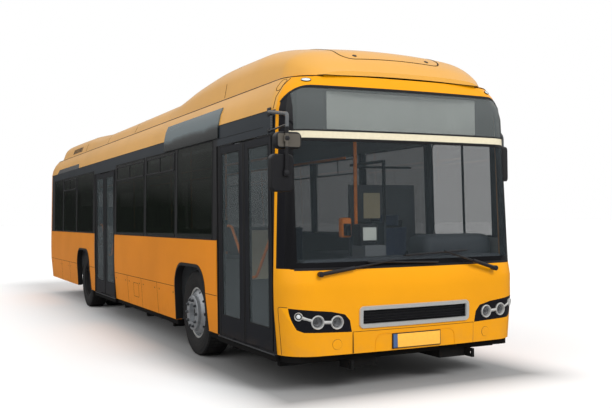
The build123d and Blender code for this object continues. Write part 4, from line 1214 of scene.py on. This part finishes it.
# For each leaf: its edge at the jamb, its edge at the middle of the doorway, the way between and its top.
leaf_edges = {}
for door, jamb_front, jamb_rear, top in DOORWAYS:
    length = (jamb_rear - jamb_front) / 2 - post_to_jamb - leaf_to_post - 0.004
    for place, jamb, way in (("a", jamb_front, 1), ("b", jamb_rear, -1)):
        outer = jamb + way * (post_to_jamb + leaf_to_post)
        leaf_edges[f"{door}_{place}"] = (outer, outer + way * length, way, top)
for door, (outer, inner, way, top) in leaf_edges.items():
    body = f"leaf_{door}"
    leaf_high = top - 0.022
    boxes(f"door_edge_{door}", [(leaf_out - 0.003, leaf_in + 0.003, edge, edge + inward, leaf_low, leaf_high)
                                for edge, inward in ((outer + way * 0.001, way * 0.022),
                                                     (inner - way * 0.001, -way * 0.026))],
          rubber, body, edge=0.004)
    frame_in = outer + way * 0.062
    frame_out = inner - way * 0.105
    seal = [(leaf_out - 0.002, leaf_out + 0.006, y, y + step, glass_low, leaf_high - 0.062)
            for y, step in ((frame_in, way * 0.012), (frame_out, -way * 0.012))]
    seal += [(leaf_out - 0.002, leaf_out + 0.006, frame_in, frame_out, z, z + 0.012)
             for z in (glass_low, leaf_high - 0.074)]
    boxes(f"door_seal_{door}", seal, rubber, body, edge=0.002)
    low_y = inner - way * 0.10
    high_y = outer + way * 0.12
    rail_x = leaf_in + 0.045
    pipe(f"door_rail_{door}", [(leaf_in, behind(low_y), 0.98), (rail_x, behind(low_y), 0.98),
                               (rail_x, behind(high_y), 1.46), (leaf_in, behind(high_y), 1.46)],
         0.014, orange_pole, body, bend=0.03)
    boxes(f"door_pod_{door}", [(leaf_in, leaf_in + 0.030, outer + way * 0.010, outer + way * 0.055,
                                1.20, 1.52)], black_plastic, body, edge=0.010)
for door, jamb_front, jamb_rear, top in DOORWAYS:
    boxes(f"sill_{door}", [(-1.266, -1.250, jamb_front + 0.01, jamb_rear - 0.01,
                            low_floor - 0.012, low_floor - 0.002)], steel, edge=0.002)
    boxes(f"jamb_seal_{door}", [(-1.268, -1.225, y, y + step, 0.352, top - 0.004)
                                for y, step in ((jamb_front + 0.001, 0.008), (jamb_rear - 0.001, -0.008))],
          rubber, edge=0.002)
    boxes(f"door_motor_{door}", [(-1.16, -1.02, jamb_front + 0.12, jamb_rear - 0.12,
                                  top + 0.03, top + 0.20)], grey_plastic, edge=0.02)

# %% [markdown]
# ## Wheels
# Ten nuts hold each wheel. The front disc stands out from its rim, so its nuts catch the light, and the
# rear disc sits deep inside the outer one of the twin tyres. The tread is in the finish of the tyres.

# %% Nuts and hubs
nut_count = 10


def on_wheel(side_way, axle, outboard, radius, turn):
    """A point on a wheel: so far outboard of the tyre's middle, at that radius and angle."""
    return Vector((side_way * (wheel_x + outboard), behind(axle) + radius * math.cos(turn),
                   tyre_radius + radius * math.sin(turn)))


nut_outline = [(-0.006, 0.020), (0.004, 0.020), (0.005, 0.0165), (0.026, 0.0155), (0.030, 0.011), (0.030, 0.0)]
rear_nut_outline = [(-0.004, 0.018), (0.004, 0.018), (0.005, 0.015), (0.022, 0.014), (0.022, 0.0)]
for side_name, way in SIDES:
    for axle_name, axle, face, circle, outline, paint in (
            ("front", front_axle, 0.175, 0.150, nut_outline, steel),
            ("rear", rear_axle, -0.093, 0.140, rear_nut_outline, dark_rim)):
        body = f"{axle_name}_wheel{'s' if axle_name == 'rear' else ''}_{side_name}"
        places = [on_wheel(way, axle, face, circle, 2 * math.pi * k / nut_count) for k in range(nut_count)]
        turned(f"nuts_{axle_name}_{side_name}", places, (way, 0, 0), outline, paint, body, steps=6)
        hub = on_wheel(way, axle, 0.130 if axle_name == "front" else 0.062, 0.0, 0.0)
        turned(f"hub_cap_{axle_name}_{side_name}", [hub], (way, 0, 0),
               [(-0.004, 0.050), (0.010, 0.048), (0.018, 0.036), (0.020, 0.0)], black_plastic, body)
        valve = on_wheel(way, axle, 0.06, 0.235, 0.7)
        pipe(f"valve_{axle_name}_{side_name}", [valve, valve + Vector((way * 0.06, 0.01, 0.01))], 0.004,
             steel, body)
    rim = on_wheel(way, front_axle, 0.105, 0.0, 0.0)
    turned(f"rim_ring_{side_name}", [rim], (way, 0, 0),
           [(-0.010, 0.263), (0.006, 0.266), (0.009, 0.275), (0.006, 0.286), (-0.010, 0.289), (-0.010, 0.263)],
           silver, f"front_wheel_{side_name}", steps=64)

# %% [markdown]
# ## Smooth skin
# The solids come as separate faces, so a curved panel would show a crease where two faces meet. Welding
# the edges and splitting only the sharp ones lets the light run over each panel.

# %% Weld the panels
SKIN = ["front_cap", "front_panel", "front_bumper", "cove_panels", "cant_rails", "waist_panels", "skirts",
        "rear_panel", "roof_panel", "windscreen", "destination_glass", "sign_strip", "mirrors", "headlamps",
        "side_sign"]
for name in SKIN:
    weld = nodes[name].modifiers.new("weld", "WELD")
    weld.merge_threshold = 0.0001
    split = nodes[name].modifiers.new("sharp edges", "EDGE_SPLIT")
    split.split_angle = sharp_angle
print("welded panels:", len(SKIN))

# %% [markdown]
# ## Mirrors, brow and front corner
# The kerb side mirrors hang on one rod ahead of the corner; each gets its glass, and the rod its strut and
# clamps. The road side mirror is turned in towards the driver.

# %% Mirrors
# Each kerb side glass: its name, how far out and how high it is, half its width and height, and its corners.
KERB_GLASSES = [("small", 1.432, 2.148, 0.100, 0.056, 0.036), ("large", 1.4895, 1.890, 0.088, 0.138, 0.036)]
for name, x, z, half_u, half_v, corner in KERB_GLASSES:
    slab(f"mirror_glass_{name}", rounded((-half_u, half_u), (-half_v, half_v), corner),
         (-x, behind(-0.2895), z), (-1, 0, 0), (0, 0, 1), 0.003, mirror_glass)
turn_in = math.radians(35)
head_way = Vector((math.cos(turn_in), math.sin(turn_in), 0))
head_back = Vector((-math.sin(turn_in), math.cos(turn_in), 0))
road_head = Vector((1.439, behind(0.510), 2.070))
slab("mirror_glass_road", rounded((-0.082, 0.082), (-0.165, 0.165), 0.036), road_head + head_back * 0.0305,
     -head_way, (0, 0, 1), 0.003, mirror_glass)
turned("mirror_balls", [(-1.460, behind(-0.392), 2.160), (-1.466, behind(-0.392), 1.890)], (0, -1, 0),
       [(-0.010, 0.0), (-0.008, 0.018), (0.0, 0.024), (0.008, 0.018), (0.012, 0.0)], black_plastic, steps=20)
pipe("mirror_strut", [(-1.252, behind(0.424), 2.306), (-1.452, behind(-0.385), 2.272)], 0.008, steel)
boxes("mirror_roots", [(-1.258, -1.248, 0.385, 0.455, 2.438, 2.512),
                       (-1.262, -1.252, 0.405, 0.445, 2.290, 2.325)], black_plastic, edge=0.004)

# %% Brow, corner joint and vent
for side_name, side in side_of.items():
    seam(f"pillar_joint_{side_name}", side,
         [(0.355, band_top + 0.01), (0.350, 2.600), (0.330, 2.700), (0.318, 2.770)], proud=0.002, step=0.03)
    seam(f"pillar_flap_{side_name}", side, rounded((0.335, 0.40), (2.660, 2.765), 0.025, 4), 0.005,
         proud=0.002, closed=True, step=0.02)
    seam(f"corner_gutter_{side_name}", side, [(0.45, 2.782), (0.36, 2.782), (0.28, 2.782), (0.20, 2.782)],
         0.010, proud=0.003, step=0.02)
for side_name, way in SIDES:
    seam(f"brow_gutter_{side_name}", front_side, [(way * (0.83 + 0.03 * k), 2.784) for k in range(8)], 0.010,
         proud=0.003, step=0.03)
boxes("header_vent", [(-1.2585, -1.2545, 0.335, 0.385, 2.312, 2.440)], black_plastic, edge=0.003)
boxes("header_vent_bars", [(-1.2605, -1.2565, 0.340, 0.380, 2.322 + 0.014 * k, 2.328 + 0.014 * k)
                           for k in range(8)], grey_plastic, edge=0.001)
ribbon("header_line", kerb_side, [(0.340, 2.352), (1.735, 2.352)], 0.005, rubber, proud=0.002, step=0.3)

# %% [markdown]
# ## Behind the front glass
# A pale board stands behind the destination pane. Lower down are the dashboard's hood, the pole with its
# card reader, the ticket machine's screen and the driver's paperwork.

# %% Display board
slab("display_board", rounded((-0.80, 0.83), (2.318, 2.655), 0.012, 3), (0, behind(0.185), 0), (1, 0, 0),
     (0, 0, 1), -0.006, display_grey)
boxes("display_box", [(-1.08, 1.08, 0.215, 0.45, 2.31, 2.67)], display_black, edge=0.01)

# %% Dashboard
boxes("dash_hood", [(0.36, 1.18, 0.36, 0.74, 1.06, 1.355)], dash_grey, edge=0.090)
boxes("dash_shelf", [(-0.50, 1.12, 0.175, 0.50, 1.10, 1.165),
                     (-1.06, -0.44, 0.175, 0.31, 1.10, 1.165)], dash_grey, edge=0.025)
boxes("dash_panel", [(0.50, 0.98, 0.735, 0.75, 1.10, 1.27)], black_gloss, edge=0.006)
boxes("dash_switches", [(x, x + 0.03, 0.748, 0.757, 1.13, 1.16)
                        for x in (0.52, 0.57, 0.62, 0.84, 0.89, 0.94)], grey_plastic, edge=0.003)

# %% Card reader, ticket machine and screens
pipe("reader_pole", [(0.044, behind(1.16), low_floor), (0.044, behind(1.16), 2.66)], 0.019, orange_pole)
boxes("card_reader", [(-0.15, -0.035, 1.10, 1.19, 1.325, 1.530)], orange_pole, edge=0.022)
boxes("card_reader_face", [(-0.135, -0.050, 1.094, 1.104, 1.345, 1.470)], black_gloss, edge=0.004)
boxes("ticket_screen", [(-0.075, 0.130, 0.86, 1.02, 1.245, 1.465)], black_plastic, edge=0.015)
boxes("ticket_display", [(-0.050, 0.105, 0.852, 0.862, 1.30, 1.43)], display_grey, edge=0.004)
boxes("door_screen", [(-0.812, -0.562, 2.042, 2.058, 0.870, 1.405)], cream_board)
boxes("door_screen_posts", [(x - 0.012, x + 0.012, 2.038, 2.062, low_floor, 1.440)
                            for x in (-0.826, -0.548)], black_plastic, edge=0.006)
slab("notice_board", rounded((0.225, 0.425), (1.52, 1.79), 0.01, 3), (0, behind(1.30), 0), (1, 0, 0), (0, 0, 1),
     -0.008, pale_board)
pipe("notice_stand", [(0.325, behind(1.32), low_floor), (0.325, behind(1.32), 1.56)], 0.012, black_plastic)
boxes("cab_door", [(0.335, 0.362, 1.08, 1.79, 0.42, 1.48)], dash_grey, edge=0.010)
boxes("cab_door_rail", [(0.333, 0.364, 1.08, 1.11, 1.47, 2.12),
                        (0.333, 0.364, 1.08, 1.79, 2.10, 2.13)], black_plastic, edge=0.006)
pipe("cab_rail", [(0.42, behind(1.79), 2.10), (1.15, behind(1.79), 2.10)], 0.013, black_plastic)
ribbon("cab_window_bar_in", road_side, [(0.95, 1.330), (0.95, 2.340)], 0.034, black_plastic, proud=0.004,
       step=0.5)
turned("steering_boss", [(0.680, behind(0.868), 1.104)], (0, 0.894, 0.447),
       [(0.0, 0.085), (0.030, 0.080), (0.046, 0.055), (0.050, 0.0)], black_plastic)

# %% [markdown]
# ## Saloon
# Seats are soft pads on grey shells. A pad starts as a box cut into small cells; its faces are crowned,
# its sides pull in between the corners, and a sewn channel runs across it. Strip lights hang at the coves.


# %% Seat pads
def pad(name, box, thin, channels=(0.0,)):
    """A stuffed pad in a box. thin is the axis of its thickness, 1 or 2."""
    cells = 12
    groove, groove_half = 0.010, 0.045
    waist_in = 0.035
    form = bmesh.new()
    bmesh.ops.create_cube(form, size=2.0)
    bmesh.ops.subdivide_edges(form, edges=form.edges[:], cuts=cells, use_grid_fill=True)
    low, high = (Vector(ends) for ends in zip(*spans(box)))
    size = high - low
    flat = [axis for axis in range(3) if axis != thin]
    for corner in form.verts:
        a, b = (corner.co[axis] for axis in flat)
        crown = ((1 - a ** 4) * (1 - b ** 4)) ** 0.4
        thick = corner.co[thin] * (0.50 + 0.50 * crown)
        sewn = sum(math.exp(-((a - channel) / groove_half) ** 2) for channel in channels)
        thick -= math.copysign(min(abs(thick), sewn * groove / size[thin] * 2), thick)
        corner.co[flat[0]] = a * (1 - waist_in * (1 - b * b) * a * a)
        corner.co[flat[1]] = b * (1 - waist_in * (1 - a * a) * b * b)
        corner.co[thin] = thick
        corner.co = Vector([low[k] + size[k] * (corner.co[k] + 1) / 2 for k in range(3)])
    piece = form_piece(name, form, seat_fabric, "body")
    return piece


# %% [markdown]
# The seats stand in rows on both sides of the aisle, with a bench across the rear. Each one is two pads on a
# shell, and the shells together take the place of the solid seats.

# %% Seats in their rows
seat_x = (0.560, 1.170)
rear_floor = 0.760
# Each seat: its side of the aisle, how far behind the front it starts, and the floor it stands on.
SEATS = [(1, 4.300 + 0.780 * row, low_floor) for row in range(4)]
SEATS += [(-1, 3.950 + 0.780 * row, low_floor) for row in range(3)]
SEATS += [(side, body_length - 2.280, rear_floor) for side in (-1, 1)]
shells = []
for index, (side, distance, base) in enumerate(SEATS):
    left, right = sorted(side * x for x in seat_x)
    pad(f"seat_cushion_{index}", (left + 0.008, right - 0.008, distance + 0.004, distance + 0.375,
                                  base + 0.368, base + 0.429), 2)
    pad(f"seat_back_{index}", (left + 0.012, right - 0.012, distance + 0.360, distance + 0.407,
                               base + 0.440, base + 1.040), 1)
    shells += [(left, right, distance, distance + 0.43, base + 0.350, base + 0.374),
               (left, right, distance + 0.402, distance + 0.430, base + 0.360, base + 1.050),
               (side * 0.760, side * 0.980, distance + 0.12, distance + 0.33, base, base + 0.352)]
bench_rear = body_length - 0.530
bench_channels = (-0.6, -0.2, 0.2, 0.6)
pad("bench_cushion", (-1.095, 1.095, bench_rear - 0.450, bench_rear - 0.072, 1.202, 1.279), 2,
    channels=bench_channels)
pad("bench_back", (-1.095, 1.095, bench_rear - 0.068, bench_rear - 0.022, 1.290, 1.815), 1,
    channels=bench_channels)
shells.append((-1.10, 1.10, bench_rear - 0.024, bench_rear, 1.205, 1.820))
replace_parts(boxes("seat_shells", shells, grey_plastic, edge=0.008), "passenger_seats")
pad("driver_cushion", (0.455, 0.905, 1.125, 1.505, 0.800, 0.889), 2, channels=(-0.55, 0.55))
pad("driver_back", (0.460, 0.900, 1.495, 1.575, 0.900, 1.420), 1, channels=(-0.55, 0.55))
pad("driver_headrest", (0.560, 0.800, 1.500, 1.575, 1.430, 1.558), 1, channels=())
driver_base = [(0.450, 0.910, 1.12, 1.60, 0.780, 0.805), (0.470, 0.890, 1.572, 1.598, 0.860, 1.500),
               (0.600, 0.760, 1.250, 1.500, low_floor, 0.782)]
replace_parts(boxes("driver_seat_base", driver_base, black_plastic, edge=0.010), "driver_seat")

# %% Lights and ceiling rails
boxes("strip_lights", [(side * 0.46, side * 0.58, 1.90 + 1.5 * k, 3.25 + 1.5 * k, 2.700, 2.724)
                       for side in (-1, 1) for k in range(6)], light_strip, edge=0.006)
for side_name, way in SIDES:
    pipe(f"ceiling_rail_{side_name}", [(way * 0.42, behind(y), 2.22) for y in (2.05, 11.0)], 0.016,
         orange_pole)

# %% [markdown]
# ## Roof and rear
# The roof covers are made in lengths, so fine joints cross them, and the service lid has two turned
# fasteners. The rear gets louvres on its hatch, rims round its lamps, a blank plate and high marker lamps.

# %% Roof details
cover_sides = both_sides(COVERS)
for joint in (1.90, 5.60, 7.35, 9.10):
    for side_name, side in cover_sides.items():
        seam(f"cover_joint_{side_name}_{joint}", side, [(joint, 2.805), (joint, 2.955)], proud=0.002,
             step=0.04)
    seam(f"cover_joint_top_{joint}", roof_side, level(-0.94, 0.94, joint, 16), proud=0.002)
seal_half = 0.560
seal_places = [0.47 + 0.05 * k for k in range(14)]
seam("lid_seal", roof_side, [(-seal_half, y) for y in reversed(seal_places)]
     + front_bends(seal_half, 0.130, 0.310, 6) + [(seal_half, y) for y in seal_places], 0.010, proud=0.003)
for x in (-0.40, 0.40):
    point, normal = roof_side.at(x, 0.375)
    turned(f"lid_fastener_{x}", [point], normal,
           [(-0.004, 0.022), (0.003, 0.022), (0.004, 0.016), (0.002, 0.015), (0.002, 0.0)], black_plastic,
           "roof_lid", steps=24)
for side_name, side in cover_sides.items():
    for index in range(16):
        y = 9.55 + 0.055 * index
        ribbon(f"cover_vent_{side_name}_{index}", side, [(y, 2.835), (y, 2.925)], 0.022, black_plastic,
               proud=0.003)

# %% Rear
louvre_heights = [0.745 + 0.036 * k for k in range(12)]
boxes("hatch_louvres", [(side * 0.12, side * 0.74, body_length - 0.004, body_length + 0.008, z, z + 0.020)
                        for side in (-1, 1) for z in louvre_heights], black_plastic, "engine_hatch", edge=0.003)
boxes("hatch_locks", [(x - 0.022, x + 0.022, body_length - 0.002, body_length + 0.007, 0.535, 0.575)
                      for x in (-0.78, 0.78)], black_gloss, "engine_hatch", edge=0.006)
boxes("hatch_handle", [(-0.11, 0.11, body_length - 0.002, body_length + 0.008, 1.245, 1.285)], black_gloss,
      "engine_hatch", edge=0.006)
ribbon("rear_window_seal", rear_side, rounded((-0.812, 0.812), (1.488, 2.162), 0.06), 0.030, rubber,
       proud=0.006, closed=True)
lamp_rim = [(-0.006, 0.050), (0.006, 0.052), (0.010, 0.058), (0.006, 0.064), (-0.010, 0.066), (-0.006, 0.050)]
for side_name, way in SIDES:
    for z in (1.480, 1.350, 1.220, 1.090):
        turned(f"tail_rim_{side_name}_{z}", [(way * 1.070, rear_y, z)], (0, 1, 0), lamp_rim, black_plastic)
    turned(f"reflector_{side_name}", [rear_side.at(way * 0.98, 0.560)[0]], (0, 1, 0),
           [(-0.03, 0.034), (0.004, 0.034), (0.007, 0.028), (0.007, 0.0)], red_lens)
    seam(f"rear_bumper_joint_{side_name}", rear_side, [(way * 0.95, 0.352), (way * 0.95, 0.478)], 0.005)
    point, normal = rear_side.at(way * 0.90, 2.700)
    turned(f"rear_marker_{side_name}", [point], normal,
           [(-0.006, 0.026), (0.008, 0.024), (0.014, 0.014), (0.015, 0.0)], red_lens, steps=24)
seam("rear_bumper_seam", rear_side, level(-1.05, 1.05, 0.476, 12), proud=0.002)
boxes("rear_plate_holder", [(-0.268, 0.268, body_length - 0.010, body_length + 0.003, 0.362, 0.468)],
      black_plastic)
boxes("rear_plate", [(-0.256, 0.256, body_length - 0.002, body_length + 0.006, 0.368, 0.462)], plate_yellow,
      edge=0.002)
boxes("rear_sign", [(-0.30, 0.30, body_length - 0.045, body_length + 0.002, 2.235, 2.455)], display_black,
      edge=0.010)

# %% [markdown]
# ## Light and floor
# A pale floor, a wide soft sky, one broad sun from ahead and a weaker one from the kerb side. Camera rays
# see white where there is no bus. Mirror rays see a darker land under a cloudy sky, so that glass and lacquer
# have something to show.

# %% Sky
world = bpy.data.worlds.new("sky")
scene.world = world
sky = Tree(world)
heading = sky.node("ShaderNodeTexCoord", output="Generated")
height = sky.node("ShaderNodeSeparateXYZ", {}, {0: heading}, output="Z")
clouds = sky.noise(3.2, 5.0, place=heading)
mirrored = sky.remap(height + clouds * 0.25, 0.16, 0.50, 0.025, 0.75)
plain_level = 0.60
seen = sky.node("ShaderNodeLightPath", output="Is Camera Ray")
glossy = sky.node("ShaderNodeLightPath", output="Is Glossy Ray") * (1.0 - seen)
strength = seen + glossy * mirrored + (1.0 - seen) * (1.0 - glossy) * plain_level
background = sky.tree.nodes["Background"]
background.inputs["Color"].default_value = (1.0, 1.0, 1.0, 1.0)
sky.plug(background.inputs["Strength"], strength)
print("sky with", len(sky.tree.nodes), "nodes")


# %% Suns
def sun_lamp(name, energy, degrees, way):
    """A sun as wide as that many degrees, which shines along the way given. Mirrors don't show it."""
    data = bpy.data.lights.new(name, "SUN")
    data.energy = energy
    data.angle = math.radians(degrees)
    lamp = bpy.data.objects.new(name, data)
    lamp.rotation_euler = Vector(way).to_track_quat("-Z", "Y").to_euler()
    lamp.visible_glossy = False
    scene.collection.objects.link(lamp)


sun_lamp("sun", 2.4, 25, (-0.16, 0.80, -0.64))
sun_lamp("kerb_fill", 0.9, 70, (0.85, 0.22, -0.42))

# %% [markdown]
# The floor is white to the camera, with a soft painted shadow round the wheels' line, and dim to mirror rays,
# so that the lower panels of the bus don't glow.

# %% Ground
floor_paint = Finish("pale_floor")
x, y, _ = floor_paint.axes()
# Painted shadow for camera rays: the floor darkens near the sides and front of the bus, most towards the front.
away = (abs(x) - half_width).larger(0.0).hypot((front_y - y).larger(0.0))
shadow_reach = 0.8
painted_shadow = floor_paint.remap(away, shadow_reach, 0.0) * floor_paint.remap(y, rear_y, front_y + 2.0, 0.15, 1.0)
pale = floor_paint.blend(painted_shadow * painted_shadow, (0.99, 0.99, 0.99), (0.34, 0.34, 0.34))
glossy = floor_paint.node("ShaderNodeLightPath", output="Is Glossy Ray")
seen = floor_paint.node("ShaderNodeLightPath", output="Is Camera Ray")
mirrored = floor_paint.blend(glossy, (0.80, 0.80, 0.80), (0.07, 0.07, 0.07))
floor_paint.shade(Base_Color=floor_paint.blend(seen, mirrored, pale), Roughness=0.9)
bpy.ops.mesh.primitive_plane_add(size=400.0, location=(0, 0, 0))
ground = bpy.context.object
ground.name = "ground"
ground.data.materials.append(floor_paint.material)
